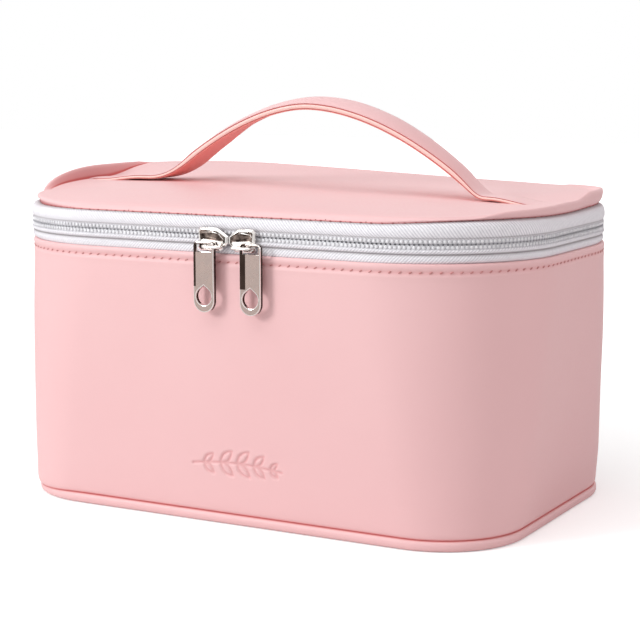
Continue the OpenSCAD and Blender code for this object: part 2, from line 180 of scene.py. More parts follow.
def setFloor():
    half = surround["floorSize"] / 2
    mesh = bpy.data.meshes.new("floor")
    corners = [(-half, -half, 0), (half, -half, 0), (half, half, 0), (-half, half, 0)]
    mesh.from_pydata(corners, [], [(0, 1, 2, 3)])
    material, tree, shader = newMaterial("floorPaper")
    fillNode(tree, shader, {"Base Color": (*surround["floorColour"], 1), "Roughness": 0.9,
                            "Specular IOR Level": 0.1})
    # white to the camera away from the case, while the case still shades it
    place = node(tree, "TexCoord").outputs["Object"]
    reach = node(tree, "VectorMath", {0: place}, operation="LENGTH").outputs["Value"]
    grow = mapped(tree, reach, *(surround[key] for key in ("glowFrom", "glowTo", "nearGlow", "farGlow")))
    share = maths(tree, "MULTIPLY", node(tree, "LightPath").outputs["Is Camera Ray"], grow)
    glow = node(tree, "Emission", {"Strength": share})
    both = node(tree, "AddShader", {0: shader.outputs[0], 1: glow.outputs[0]})
    fillNode(tree, tree.nodes["Material Output"], {"Surface": both.outputs[0]})
    mesh.materials.append(material)
    linkObject("floor", mesh)


setCamera()
for lampName, lamp in lights.items():
    areaLight(lampName, **lamp)
setWorld()
setFloor()
print("camera, light and floor")

# finishes, each with its shade; some stand for painted shade or painted reflections, as marked
colours = {
    "leather": (0.865, 0.530, 0.535), "leatherShade": (0.810, 0.450, 0.460),
    # the first colour on the next line is painted shade for creases and grooves
    "leatherPaintedShade": (0.600, 0.095, 0.088), "leatherEdge": (0.500, 0.090, 0.080),
    "leatherUnder": (0.980, 0.330, 0.290), "edgeBand": (0.960, 0.660, 0.600),
    "lining": (0.800, 0.560, 0.560), "liningShade": (0.680, 0.430, 0.430), "binding": (0.720, 0.420, 0.425),
    "foam": (0.78, 0.78, 0.75), "foamShade": (0.7, 0.7, 0.67),
    # tapeShade is painted shade for the ribs' troughs; the last colour on this line is painted shade for the
    # tape's grooves and seams
    "tape": (0.975, 0.935, 0.975), "tapeShade": (0.520, 0.490, 0.540), "tapePaintedShade": (0.260, 0.225, 0.235),
    # the last colour on the next line is the grey of a band of painted shade beside the coils
    "coil": (0.900, 0.880, 0.905), "coilShade": (0.700, 0.680, 0.710), "coilPaintedShade": (0.660, 0.645, 0.675),
    # painted shade for the gap between the coil rows: dark, and paler where more light falls
    "coilGapShadeDark": (0.050, 0.048, 0.058), "coilGapShadeFar": (0.480, 0.470, 0.500),
    "nickel": (0.860, 0.820, 0.790), "nickelShade": (0.80, 0.75, 0.72),
    # painted warm reflection for the pulls' flat faces and the sliders' rear and post
    "warmReflectionNickel": (0.430, 0.330, 0.295), "nickelFaceShade": (0.39, 0.305, 0.28),
    # painted dark reflection for the pulls' sides and the sliders' bridge
    "nickelDarkReflection": (0.035, 0.022, 0.018), "nickelDarkShade": (0.06, 0.04, 0.034),
    # painted dark reflection for the sliders' sunken faces
    "sunkenDarkReflection": (0.020, 0.013, 0.011), "nickelSunkShade": (0.30, 0.23, 0.20),
    "thread": (0.480, 0.160, 0.145), "threadShade": (0.70, 0.36, 0.36),
    # the first colour on the next line is painted shade for the needle holes
    "needleHolePaintedShade": (0.380, 0.140, 0.130), "needleHoleShade": (0.34, 0.12, 0.11),
    "lidThread": (0.300, 0.060, 0.070), "lidThreadShade": (0.55, 0.17, 0.17),
}


def objectPlace(tree, turn=0):
    # a place on the case itself, so nothing needs unwrapping
    place = node(tree, "TexCoord").outputs["Object"]
    return node(tree, "Mapping", {"Vector": place, "Rotation": (0, 0, turn)}).outputs["Vector"]


def tapePlace(tree, degrees):
    # millimetres along the zip tape, turned
    place = node(tree, "UVMap", uv_map="surface").outputs["UV"]
    values = {"Vector": place, "Scale": (1000, 1000, 1), "Rotation": (0, 0, math.radians(degrees))}
    return node(tree, "Mapping", values).outputs["Vector"]


def cloud(tree, scale, detail):
    values = {"Vector": objectPlace(tree), "Scale": scale, "Detail": detail}
    return node(tree, "TexNoise", values).outputs["Fac"]


def waves(tree, place, scale, detail, distortion):
    values = {"Vector": place, "Scale": scale, "Distortion": distortion, "Detail": detail}
    return node(tree, "TexWave", values, wave_profile="SIN").outputs["Fac"]


# the point attribute of painted shade: darker in creases, grooves, seams and recesses, where shade falls
def paintedShadeAttribute(tree):
    return node(tree, "Attribute", attribute_name="paintedShade").outputs["Fac"]


def mixColour(tree, factor, first, second):
    # a colour is a name in the dictionary, or another node's socket
    first, second = ((*colours[c], 1) if isinstance(c, str) else c for c in (first, second))
    return node(tree, "Mix", {0: factor, 6: first, 7: second}, data_type="RGBA").outputs[2]


def bumped(tree, height, strength, distance, before=None):
    values = {"Height": height, "Strength": strength, "Distance": distance}
    if before is not None:
        values["Normal"] = before
    return node(tree, "Bump", values).outputs["Normal"]


def leatherMaterial(name, colour, shade, roughness, grain):
    # soft coated leather: fine pebble grain, faint mottling, and painted shade in its creases and grooves, as
    # the point attribute gives it
    material, tree, shader = newMaterial(name)
    fine = cloud(tree, 900, 2)
    values = {"Vector": objectPlace(tree), "Scale": 1500, "Smoothness": 0.6}
    pebble = node(tree, "TexVoronoi", values, feature="SMOOTH_F1").outputs["Distance"]
    soft = mixColour(tree, mapped(tree, cloud(tree, 16, 3), 0.35, 0.7, 0.0, 0.2), colour, shade)
    fillNode(tree, shader, {
        "Base Color": mixColour(tree, paintedShadeAttribute(tree), soft, "leatherPaintedShade"),
        "Roughness": mapped(tree, fine, 0.3, 0.7, roughness - 0.05, roughness + 0.07),
        "Normal": bumped(tree, fine, 0.12, grain, bumped(tree, pebble, 0.16, grain)),
        "Specular IOR Level": 0.38, "Sheen Weight": 0.03})
    return material


def clothMaterial(name, colour, shade, threads, roughness, sheen):
    # plain woven cloth, painted darker between its threads as painted shade, with random blotches, and
    # painted shade where the point attribute gives it
    material, tree, shader = newMaterial(name)
    weave = maths(tree, "MULTIPLY", waves(tree, objectPlace(tree), threads, 1, 0.4),
                  waves(tree, objectPlace(tree, math.pi / 2), threads, 1, 0.4))
    blotch = mapped(tree, cloud(tree, 30, 3), 0.3, 0.7, 0.0, 0.35)
    dark = maths(tree, "MULTIPLY_ADD", weave, -0.3, blotch, clamp=True)
    total = maths(tree, "ADD", dark, paintedShadeAttribute(tree), clamp=True)
    fillNode(tree, shader, {
        "Base Color": mixColour(tree, total, colour, shade), "Normal": bumped(tree, weave, 0.35, 0.0001),
        "Roughness": roughness, "Sheen Weight": sheen})
    return material


def twillMaterial(name, colour, shade, lean):
    # zip tape: slanted ribs across the tape, with fine threads between; the ribs' troughs are painted darker
    # as painted shade, with a faint random tone, and the grooves get painted shade from the point attribute
    material, tree, shader = newMaterial(name)
    ribs = waves(tree, tapePlace(tree, lean), 0.33, 1, 0.3)
    threads = waves(tree, tapePlace(tree, -60), 0.95, 2, 0.3)
    total = maths(tree, "ADD", mapped(tree, ribs, 0.0, 0.8, 0.52, 0.0),
                  mapped(tree, cloud(tree, 700, 2), 0.35, 0.65, 0.0, 0.12), clamp=True)
    woven = mixColour(tree, total, colour, shade)
    fillNode(tree, shader, {
        "Base Color": mixColour(tree, paintedShadeAttribute(tree), woven, "tapePaintedShade"),
        "Normal": bumped(tree, ribs, 0.6, 0.0002, bumped(tree, threads, 0.2, 0.00006)),
        "Roughness": 0.78, "Sheen Weight": 0.2})
    return material


def plainMaterial(name, colour, shade, roughness, scale, depth, metal=0.0):
    # small parts: a faintly uneven colour and finish
    material, tree, shader = newMaterial(name)
    fuzz = cloud(tree, scale, 3)
    fillNode(tree, shader, {
        "Base Color": mixColour(tree, mapped(tree, fuzz, 0.35, 0.7, 0.0, 1.0), colour, shade),
        "Roughness": mapped(tree, fuzz, 0.3, 0.7, roughness, roughness * 1.3),
        "Normal": bumped(tree, fuzz, 0.25, depth), "Metallic": metal})
    return material


def paintedGapShadeMaterial(name, colour, far):
    # painted shade in the gap between the zip's coils: dark dots, painted paler to the left and round both
    # ends, where more light reaches
    material, tree, shader = newMaterial(name)
    axes = node(tree, "SeparateXYZ", {"Vector": objectPlace(tree)}).outputs
    total = maths(tree, "ADD", mapped(tree, axes["X"], -0.112, 0.07, 0.7, 0.0),
                  mapped(tree, axes["Y"], -0.077, -0.045, 0.0, 0.8), clamp=True)
    fillNode(tree, shader, {"Base Color": mixColour(tree, total, colour, far), "Roughness": 0.6})
    return material


skin = leatherMaterial("leatherSkin", "leather", "leatherShade", 0.46, 0.00012)
skinDeep = leatherMaterial("leatherUnderside", "leatherUnder", "leatherEdge", 0.5, 0.00012)
skinEdge = leatherMaterial("leatherCutEdge", "leatherEdge", "leatherUnder", 0.6, 0.0001)
skinBand = leatherMaterial("leatherEdgeBand", "edgeBand", "leather", 0.45, 0.0001)
liningCloth = clothMaterial("liningCloth", "lining", "liningShade", 380, 0.5, 0.35)
bindingCloth = clothMaterial("bindingTape", "binding", "liningShade", 420, 0.75, 0.2)
upperTape = twillMaterial("upperZipTape", "tape", "tapeShade", -44)
lowerTape = twillMaterial("lowerZipTape", "tape", "tapeShade", 44)
coilNylon = plainMaterial("zipCoil", "coil", "coilShade", 0.4, 500, 0.00003)
# a grey band of painted shade on the tape beside and between the coils
coilShadedBand = plainMaterial("zipCoilPaintedShadeBand", "coilPaintedShade", "coilShade", 0.5, 900, 0.00005)
coilGapShade = paintedGapShadeMaterial("zipCoilPaintedGapShade", "coilGapShadeDark", "coilGapShadeFar")
foamBoard = plainMaterial("foamBoard", "foam", "foamShade", 0.85, 1200, 0.0002)
nickel = plainMaterial("brightNickel", "nickel", "nickelShade", 0.1, 120, 0.00001, 1.0)
# a painted reflection: warm, darker metal on the pulls' flat faces
warmReflectionNickel = plainMaterial("nickelPaintedWarmReflection", "warmReflectionNickel", "nickelFaceShade", 0.24, 260, 0.00001, 1.0)
# a painted dark reflection: near-black metal on the pulls' sides and the sliders' bridge
darkReflectionNickel = plainMaterial("nickelPaintedDarkReflection", "nickelDarkReflection", "nickelDarkShade", 0.2, 120, 0.00001, 1.0)
# a painted dark reflection on the sliders' sunken faces
sunkenDarkReflection = plainMaterial("nickelSunkenPaintedDarkReflection", "sunkenDarkReflection", "nickelSunkShade", 0.16, 420, 0.00002, 1.0)
threadPink = plainMaterial("sewingThread", "thread", "threadShade", 0.6, 2500, 0.00004)
# painted shade for the needle holes
paintedHoleShade = plainMaterial("needleHolePaintedShade", "needleHolePaintedShade", "needleHoleShade", 0.8, 2500, 0.00004)
threadRed = plainMaterial("lidThread", "lidThread", "lidThreadShade", 0.6, 2500, 0.00004)
print("materials")


def planAt(column, width, depth, radius):
    # a point of the rounded rectangle and its outward direction; columns run anticlockwise from above
    kind, quarter, t = column

    def corner(q, share):
        a = math.radians(90 * (q + share))
        cx = (width / 2 - radius) * (1 if q in (0, 3) else -1)
        cy = (depth / 2 - radius) * (1 if q < 2 else -1)
        return cx + radius * math.cos(a), cy + radius * math.sin(a), math.cos(a), math.sin(a)
    if kind == "corner":
        return corner(quarter, t)
    x0, y0, nx, ny = corner(quarter, 1)
    x1, y1, _, _ = corner((quarter + 1) % 4, 0)
    return mix(x0, x1, t), mix(y0, y1, t), nx, ny


def outlineAt(column):
    return planAt(column, case["width"], case["depth"], case["corner"])


def columnRow(kind, quarter, steps):
    return [(kind, quarter, i / steps) for i in range(steps)]


def columnsFor(cornerSteps, sideSteps, frontExtra=()):
    # all the way round; the front may have extra columns where the motif is
    columns = []
    for quarter in range(4):
        side = columnRow("side", quarter, sideSteps)
        if quarter == 2 and frontExtra:
            low, high = min(frontExtra) - 0.004, max(frontExtra) + 0.004
            side = [column for column in side if column[2] < low or column[2] > high]
            side = sorted(side + [("side", quarter, t) for t in frontExtra])
        columns += columnRow("corner", quarter, cornerSteps) + side
    return columns


def zipColumns(cornerSteps, sideSteps):
    # the zip runs from the left end of the back round the front to the right end of the back
    columns = []
    for quarter in (1, 2, 3):
        columns += columnRow("corner", quarter, cornerSteps) + columnRow("side", quarter, sideSteps)
    return columns + columnRow("corner", 0, cornerSteps) + [("corner", 0, 1.0)]


def zipPoint(column, out, z):
    x, y, nx, ny = outlineAt(column)
    return (x + nx * out, y + ny * out, z)


def atEnds(x, left, right, start=62, run=40):
    # an amount that grows towards the case's left and right ends
    return left * ease((-x - start) / run) + right * ease((x - start) / run)


def ringsFor(levels, columns, place):
    # place(column, *level) gives a point and how much painted shade it carries
    rings, paintedShade = [], []
    for level in levels:
        made = [place(column, *level) for column in columns]
        rings.append([point for point, _ in made])
        paintedShade.append([shade for _, shade in made])
    return rings, paintedShade


def faceOut(mesh):
    # every closed shell's faces point outwards
    shell = bmesh.new()
    shell.from_mesh(mesh)
    bmesh.ops.recalc_face_normals(shell, faces=shell.faces[:])
    shell.to_mesh(mesh)
    shell.free()


def gridPiece(name, rings, materials, closedAround=True, closedRing=True, bands=None, paintedShade=None):
    # rings[j][k]: ring j of the profile, column k round the piece; its surface map is in metres
    ringCount, columnCount = len(rings), len(rings[0])
    points = [tuple(c * mm for c in p) for ring in rings for p in ring]
    faces, slots, maps = [], [], []
    along, up = [0.0], [0.0]
    middle = rings[ringCount // 2]
    for k in range(columnCount):
        along.append(along[-1] + math.dist(middle[k], middle[(k + 1) % columnCount]) * mm)
    for j in range(ringCount):
        up.append(up[-1] + math.dist(rings[j][0], rings[(j + 1) % ringCount][0]) * mm)
    for j in range(ringCount if closedRing else ringCount - 1):
        nextJ = (j + 1) % ringCount
        for k in range(columnCount if closedAround else columnCount - 1):
            nextK = (k + 1) % columnCount
            faces.append((j * columnCount + k, j * columnCount + nextK,
                          nextJ * columnCount + nextK, nextJ * columnCount + k))
            slots.append(bands[j] if bands else 0)
            maps += [(along[k + a], up[j + b]) for a, b in ((0, 0), (1, 0), (1, 1), (0, 1))]
    # caps over the open ends
    if not closedAround and closedRing:
        first = [j * columnCount for j in range(ringCount)]
        faces += [tuple(first), tuple(j + columnCount - 1 for j in reversed(first))]
        slots += [0, 0]
        maps += [(0, 0)] * (2 * ringCount)
    if closedAround and not closedRing:
        faces += [tuple(reversed(range(columnCount))),
                  tuple(range((ringCount - 1) * columnCount, ringCount * columnCount))]
        slots += [bands[0], bands[-1]] if bands else [0, 0]
        maps += [(0, 0)] * (2 * columnCount)
    mesh = bpy.data.meshes.new(name)
    mesh.from_pydata(points, [], faces)
    for material in materials:
        mesh.materials.append(material)
    mesh.polygons.foreach_set("material_index", slots)
    mesh.polygons.foreach_set("use_smooth", [True] * len(faces))
    layer = mesh.uv_layers.new(name="surface")
    layer.data.foreach_set("uv", [c for uv in maps for c in uv])
    # each point's painted shade
    values = mesh.attributes.new("paintedShade", "FLOAT", "POINT")
    if paintedShade:
        values.data.foreach_set("value", [v for ring in paintedShade for v in ring])
    mesh.update()
    faceOut(mesh)
    return linkObject(name, mesh)


def rowTree(name, sizes):
    # things in a row along a path, whose points carry the outward direction
    tree = bpy.data.node_groups.new(name, "GeometryNodeTree")
    tree.interface.new_socket("Geometry", in_out="INPUT", socket_type="NodeSocketGeometry")
    for label, value in sizes.items():
        tree.interface.new_socket(label, in_out="INPUT", socket_type="NodeSocketFloat").default_value = value
    tree.interface.new_socket("Geometry", in_out="OUTPUT", socket_type="NodeSocketGeometry")
    source = node(tree, "NodeGroupInput").outputs
    toCurve = node(tree, "GeometryNodeMeshToCurve", {"Mesh": source["Geometry"]})
    spaced = node(tree, "GeometryNodeResampleCurve",
                  {"Curve": toCurve.outputs["Curve"], "Length": source["Pitch"]}, mode="LENGTH")
    tangent = node(tree, "GeometryNodeInputTangent")
    outward = node(tree, "GeometryNodeInputNamedAttribute", {"Name": "outward"}, data_type="FLOAT_VECTOR")
    along = node(tree, "FunctionNodeAlignRotationToVector", {"Vector": tangent.outputs["Tangent"]}, axis="X")
    facing = node(tree, "FunctionNodeAlignRotationToVector",
                  {"Rotation": along.outputs["Rotation"], "Vector": outward.outputs["Attribute"]},
                  axis="Z", pivot_axis="X")
    return tree, source, spaced.outputs["Curve"], facing.outputs["Rotation"]


def balls(tree, curve, turn, rounds, radius, sizes):
    # a stretched ball at every point of the row
    ball = node(tree, "GeometryNodeMeshUVSphere", {"Segments": 8, "Rings": rounds, "Radius": radius})
    shape = node(tree, "CombineXYZ", sizes).outputs["Vector"]
    sized = node(tree, "GeometryNodeTransform", {"Geometry": ball.outputs["Mesh"], "Scale": shape})
    placed = node(tree, "GeometryNodeInstanceOnPoints",
                  {"Points": curve, "Instance": sized.outputs["Geometry"], "Rotation": turn})
    return placed.outputs["Instances"]


def turned(tree, instances, angle):
    turn = node(tree, "CombineXYZ", {"Z": angle}).outputs["Vector"]
    return node(tree, "GeometryNodeRotateInstances",
                {"Instances": instances, "Rotation": turn}).outputs["Instances"]


def realised(tree, instances, material):
    real = node(tree, "GeometryNodeRealizeInstances", {"Geometry": instances}).outputs[0]
    smooth = node(tree, "GeometryNodeSetShadeSmooth", {"Geometry": real}).outputs[0]
    return node(tree, "GeometryNodeSetMaterial", {"Geometry": smooth, "Material": material}).outputs[0]


def stitchTree(name, sizes, thread, needle):
    # slanted threads, and between each two a needle hole: a dark ball of painted shade
    tree, source, curve, facing = rowTree(name, sizes)
    rows = []
    for thick, share, material in (("Thread Radius", 0.5, thread), ("Hole Radius", 0.3, needle)):
        long = maths(tree, "MULTIPLY", source["Stitch Length"], share)
        placed = balls(tree, curve, facing, 5, 1.0, {"X": long, "Y": source[thick], "Z": source[thick]})
        least = maths(tree, "SUBTRACT", source["Slant"], source["Jitter"])
        most = maths(tree, "ADD", source["Slant"], source["Jitter"])
        values = {2: least, 3: most, "Seed": 3}
        angle = node(tree, "FunctionNodeRandomValue", values, data_type="FLOAT").outputs[1]
        placed = turned(tree, placed, angle)
        if thick == "Hole Radius":
            step = node(tree, "CombineXYZ", {"X": maths(tree, "MULTIPLY", source["Pitch"], 0.5),
                                                   "Z": maths(tree, "MULTIPLY", source[thick], -0.8)})
            placed = node(tree, "GeometryNodeTranslateInstances",
                          {"Instances": placed, "Translation": step.outputs["Vector"]}).outputs["Instances"]
        rows.append(realised(tree, placed, material))
    join = node(tree, "GeometryNodeJoinGeometry")
    for row in rows:
        tree.links.new(row, join.inputs["Geometry"])
    node(tree, "NodeGroupOutput", {"Geometry": join.outputs["Geometry"]})
    return tree


def coilTree(name, sizes, material):
    # turns of the zip's coil set side by side along its row
    tree, source, curve, facing = rowTree(name, sizes)
    size = {"X": source["Turn Width"], "Y": source["Turn Height"], "Z": source["Turn Depth"]}
    placed = turned(tree, balls(tree, curve, facing, 6, 0.5, size), source["Lean"])
    node(tree, "NodeGroupOutput", {"Geometry": realised(tree, placed, material)})
    return tree


def grownPiece(name, columns, place, tree, values, material, closed=True):
    # runs a node tree on a path and keeps the result as a plain mesh
    made = [place(column) for column in columns]     # points with their outward directions
    count = len(made)
    mesh = bpy.data.meshes.new(name + "Path")
    edges = [(i, i + 1) for i in range(count - 1)] + ([(count - 1, 0)] if closed else [])
    mesh.from_pydata([tuple(c * mm for c in point) for point, _ in made], edges, [])
    outward = mesh.attributes.new("outward", "FLOAT_VECTOR", "POINT")
    outward.data.foreach_set("vector", [c for _, direction in made for c in direction])
    path = linkObject(name + "Path", mesh)
    modifier = path.modifiers.new("grow", "NODES")
    modifier.node_group = tree
    for item in tree.interface.items_tree:
        if item.item_type == "SOCKET" and item.in_out == "INPUT" and item.name in values:
            modifier[item.identifier] = values[item.name]
    depsgraph = bpy.context.evaluated_depsgraph_get()
    result = bpy.data.meshes.new_from_object(path.evaluated_get(depsgraph))
    result.name = name
    for attribute in [a for a in result.attributes if a.name == "outward"]:
        result.attributes.remove(attribute)
    if not result.materials:
        result.materials.append(material)
    bpy.data.objects.remove(path)
    faceOut(result)
    return linkObject(name, result)


# the wall and its base
wall = {
    "cornerSteps": 26, "sideSteps": 22,
    "stitchZ": 104.2, "stitchDepth": 0.35, "stitchSink": 0.12, "stitchSteps": (24, 30),
    "soften": 0.3,           # how far the leather wanders from a true surface
    "endSwell": 0.9, "leftTuck": 0.3, "leftDrop": 1.7,     # fuller at both ends, lower at the left end
    "motif": {"x": 5.5, "z": 25, "length": 40, "half": 7, "depth": 0.65, "line": 0.8, "step": 0.42},
}
wallStitch = {"Pitch": 0.0038, "Stitch Length": 0.0016, "Thread Radius": 0.0003, "Hole Radius": 0.00018,
              "Slant": 0.5, "Jitter": 0.12}


def wallPoint(column, z, out):
    t = min(1, max(0, (z - case["weltTop"]) / (case["straightZ"] - case["weltTop"])))
    width = case["width"] - 2 * case["baseInset"] * (1 - t) + 2 * out
    depth = case["depth"] - 2 * case["baseInset"] * (1 - t) + 2 * out
    push = case["bow"] * math.sin(math.pi * t)
    x, y, _, _ = planAt(column, width, depth, mix(case["baseCorner"], case["corner"], t) + out)
    return (x * (1 + 2 * push / width * (1 - (2 * y / depth) ** 2)),
            y * (1 + 2 * push / depth * (1 - (2 * x / width) ** 2)), z)


def wallSwell(x, z):
    # fuller towards the top of both ends, and drawn in at the foot of the left one
    grow = (0.4 + 0.6 * ease((z - 40) / 50)) * ease((z - 8) / 14)
    tuck = wall["leftTuck"] * ease((-x - 70) / 35) * ease((8 - z) / 4)
    return atEnds(x, wall["endSwell"], wall["endSwell"]) * grow - tuck


def segmentDistance(px, pz, a, b):
    dx, dz = b[0] - a[0], b[1] - a[1]
    t = min(1, max(0, ((px - a[0]) * dx + (pz - a[1]) * dz) / (dx * dx + dz * dz)))
    return math.hypot(px - a[0] - t * dx, pz - a[1] - t * dz)


def sprigLines():
    # a stem with paired leaves, each leaf two shallow arcs
    m = wall["motif"]
    half = m["length"] / 2
    stem = [(m["x"] + mix(-half, half, i / 16), m["z"] - 1.2 + 1.5 * math.sin(math.pi * i / 16))
            for i in range(17)]
    lines = [(stem[i], stem[i + 1]) for i in range(16)]
    for i in range(2, 15, 3):
        x, z = stem[i]
        size = 6.6 * math.sin(math.pi * (i + 4) / 22)
        for side in (1, -1):
            tip = (x + size * 0.85, z + side * size * 0.78)
            for swell in (0.24, -0.24):
                before = (x, z)
                for k in range(1, 6):
                    s = k / 5
                    lift = swell * size * math.sin(math.pi * s)
                    here = (mix(x, tip[0], s) - side * lift * 0.68, mix(z, tip[1], s) + lift * 0.74)
                    lines.append((before, here))
                    before = here
    return lines


def makeWall():
    m = wall["motif"]
    straight = case["width"] / 2 - case["corner"]
    low, high = m["x"] - m["length"] / 2 - 1.5, m["x"] + m["length"] / 2 + 2.5
    count = int((high - low) / m["step"])
    extra = [((low + (high - low) * i / count) + straight) / (2 * straight) for i in range(count + 1)]
    lines = sprigLines()
    rows = int(2 * m["half"] / m["step"])
    # (height, outwards), from the foot up to the turned edge, then down the back of the leather
    levels = [(3.4, -1.7), (4.0, -1.2), (4.4, -0.85), (4.8, -0.55), (5.3, -0.3), (6.0, -0.1)]
    levels += [(z, 0) for z in (7.0, 8.5, 10, 12, 15)]
    levels += [(mix(m["z"] - m["half"], m["z"] + m["half"], i / rows), 0) for i in range(rows + 1)]
    levels += [(z, 0) for z in (34, 38, 43, 48, 53, 58, 63, 68, 73, 78, 83, 88, 92, 95, 98, 100, 101.4)]
    levels += [(z, 0.12) for z in (102.2, 102.8, 103.3, 103.7, 104.2, 104.7, 105.1, 105.6, 106.1, 106.6)]
    levels += [(107.0, 0.02), (107.28, -0.22), (107.4, -0.6), (107.28, -0.98), (107.0, -1.2)]
    levels = [(z, out, out > -0.5 or z < 5) for z, out in levels]
    levels += [(z, -1.2, False) for z in (104, 97, 70, 40)] + [(8, -1.5, False), (3.4, -2.6, False)]

    def skinPlace(column, z, out, outside):
        x, y, _ = wallPoint(column, z, out)
        nx, ny = outlineAt(column)[2:]
        drop = wall["leftDrop"] * ease((-x - 70) / 38) * ease((12 - z) / 8)
        push = shade = 0.0
        if outside:
            fade = ease((z - 5) / 14) * ease((106.8 - z) / 8)
            push = wall["soften"] * fade * noise.noise(Vector((x / 46, y / 46, z / 38))) + wallSwell(x, z)
            # the leather draws in a little along the seam, and puffs between it and the edge
            push -= wall["stitchDepth"] * bump(z, wall["stitchZ"], 1.5)
            push += 0.15 * bump(z, 106.0, 1.1)
            # painted shade in the groove at the foot, where the wall tucks into the lip, and along the
            # stitched seam
            shade = 0.95 * bump(z, 4.3, 0.75) + 0.2 * bump(z, wall["stitchZ"], 1.3)
            if column[:2] == ("side", 2) and abs(z - m["z"]) < m["half"] and low < x < high:
                distance = min(segmentDistance(x, z, a, b) for a, b in lines)
                cut = ease(1 - (distance - m["line"] * 0.2) / (m["line"] * 0.8))
                push -= m["depth"] * cut
                # painted shade in the motif's cut lines
                shade += 0.2 * cut
        return (x + nx * push, y + ny * push, z - drop), shade

    columns = columnsFor(wall["cornerSteps"], wall["sideSteps"], extra)
    rings, paintedShade = ringsFor(levels, columns, skinPlace)
    piece = gridPiece("wallSkin", rings, [skin], paintedShade=paintedShade)
    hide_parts("outer_wall")
    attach(piece, "case")

    def stitchPlace(column):
        x, y, z = wallPoint(column, wall["stitchZ"], 0)
        nx, ny = outlineAt(column)[2:]
        lift = wallSwell(x, z) - wall["stitchSink"]
        return (x + nx * lift, y + ny * lift, z), (nx, ny, 0)

    tree = stitchTree("seamStitches", wallStitch, threadPink, paintedHoleShade)
    columns = columnsFor(*wall["stitchSteps"])
    stitches = grownPiece("wallStitches", columns, stitchPlace, tree, wallStitch, threadPink)
    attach(stitches, "case")


makeWall()
print("wall")

welt = {
    "cornerSteps": 22, "sideSteps": 24,
    "leftTuck": 1.6, "leftThin": 0.36,     # drawn in and thinner at the left end
    "stitchInset": 9.2, "stitchZ": 0.62, "stitchSteps": (20, 24), "hiddenTop": 1.4,
}


def makeBase():
    columns = columnsFor(welt["cornerSteps"], welt["sideSteps"])
    width, depth = case["width"] - 2 * case["baseInset"], case["depth"] - 2 * case["baseInset"]

    def insetPoint(column, inset, least=0):
        return planAt(column, width - 2 * inset, depth - 2 * inset, max(least, case["baseCorner"] - inset))

    # the rolled lip: a soft round outside, tucked under the wall above and under the base below
    profile = [(-3.9, 0.15), (-2.4, 0.0), (-1.1, 0.1), (-0.35, 0.45), (0.1, 1.0), (0.35, 1.75), (0.4, 2.6),
               (0.25, 3.35), (-0.1, 3.85), (-0.6, 4.2), (-1.1, 4.35), (-2.4, 4.45), (-3.9, 4.5)]

    def lipPlace(column, out, z):
        x, y, nx, ny = insetPoint(column, 0)
        wander = 0.12 * noise.noise(Vector((x / 30, y / 30, z / 9))) - welt["leftTuck"] * ease((-x - 70) / 35)
        thin = 1 - welt["leftThin"] * ease((-x - 70) / 38)
        # painted shade in the groove at the lip's top and under its foot
        shade = 0.9 * bump(z, 4.35, 0.45) * ease((out + 3) / 2) + (0.35 if z < 0.2 else 0)
        return (x + nx * (out + wander), y + ny * (out + wander), max(0.0, z * thin)), shade

    rings, paintedShade = ringsFor(profile, columns, lipPlace)
    lip = gridPiece("baseLip", rings, [skin], paintedShade=paintedShade)
    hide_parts("base_welt")
    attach(lip, "case")

    # the underside: a pad of leather that rises a little inside its stitched border; it runs from
    # the middle outwards, then back over the hidden upper side
    panel = [(0.2, 22, share) for share in (0.05, 0.16, 0.3, 0.44, 0.58, 0.72, 0.86)]
    panel += [(0.2, 22, 1), (0.25, 14, 1), (0.5, 10.4, 1), (0.75, 9.2, 1), (0.5, 8, 1), (0.6, 5.3, 1),
              (0.75, 4.5, 1), (1.35, 4.4, 1)]

    def underPlace(column, z, inset, share):
        x, y, _, _ = insetPoint(column, inset, 4)
        x, y = x * share, y * share
        sag = 0.12 * noise.noise(Vector((x / 22, y / 22, 4))) if inset > 6 else 0
        # painted shade along the stitched border and the pad's edge
        return (x, y, max(0.02, z + sag)), 0.5 * bump(inset, 9.2, 1.2) + 0.5 * bump(inset, 4.5, 1.0)

    rings, paintedShade = ringsFor(panel, columns, underPlace)
    edge = rings[-1]
    rings += [[(x * share, y * share, welt["hiddenTop"]) for x, y, _ in edge] for share in (1, 0.5, 0.05)]
    paintedShade += [[0.0] * len(columns)] * 3
    under = gridPiece("baseUnderside", rings, [skin], closedRing=False, paintedShade=paintedShade)
    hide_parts("base_panel")
    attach(under, "case")

    def rowPlace(column):
        return (*insetPoint(column, welt["stitchInset"])[:2], welt["stitchZ"]), (0, 0, -1)

    tree, columns = bpy.data.node_groups["seamStitches"], columnsFor(*welt["stitchSteps"])[::-1]
    rows = grownPiece("baseStitches", columns, rowPlace, tree, dict(wallStitch, Slant=0.0), threadPink)
    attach(rows, "case")


makeBase()
print("base")

# zip tapes and coils
zipper = {
    "cornerSteps": 30, "sideSteps": 40, "coilSteps": (24, 30),
    # fuller and taller at the ends
    "leftSwell": 1.8, "rightSwell": 1.1, "leftSeam": 0.8, "rightSeam": 1.3, "rightDip": 0.8,
    "lowerTurns": {"Pitch": 0.00175, "Turn Width": 0.0013, "Turn Height": 0.0014, "Turn Depth": 0.0005,
                   "Lean": 0.16},
    "upperTurns": {"Pitch": 0.00175, "Turn Width": 0.0013, "Turn Height": 0.0013, "Turn Depth": 0.0005,
                   "Lean": 0.1},
    "gapShadeDots": {"Pitch": 0.00175, "Turn Width": 0.0008, "Turn Height": 0.0007, "Turn Depth": 0.0005,
              "Lean": 0.0},
}


def tapeSwell(x, z):
    return atEnds(x, zipper["leftSwell"], zipper["rightSwell"]) * ease((z - 106.6) / 2.5)


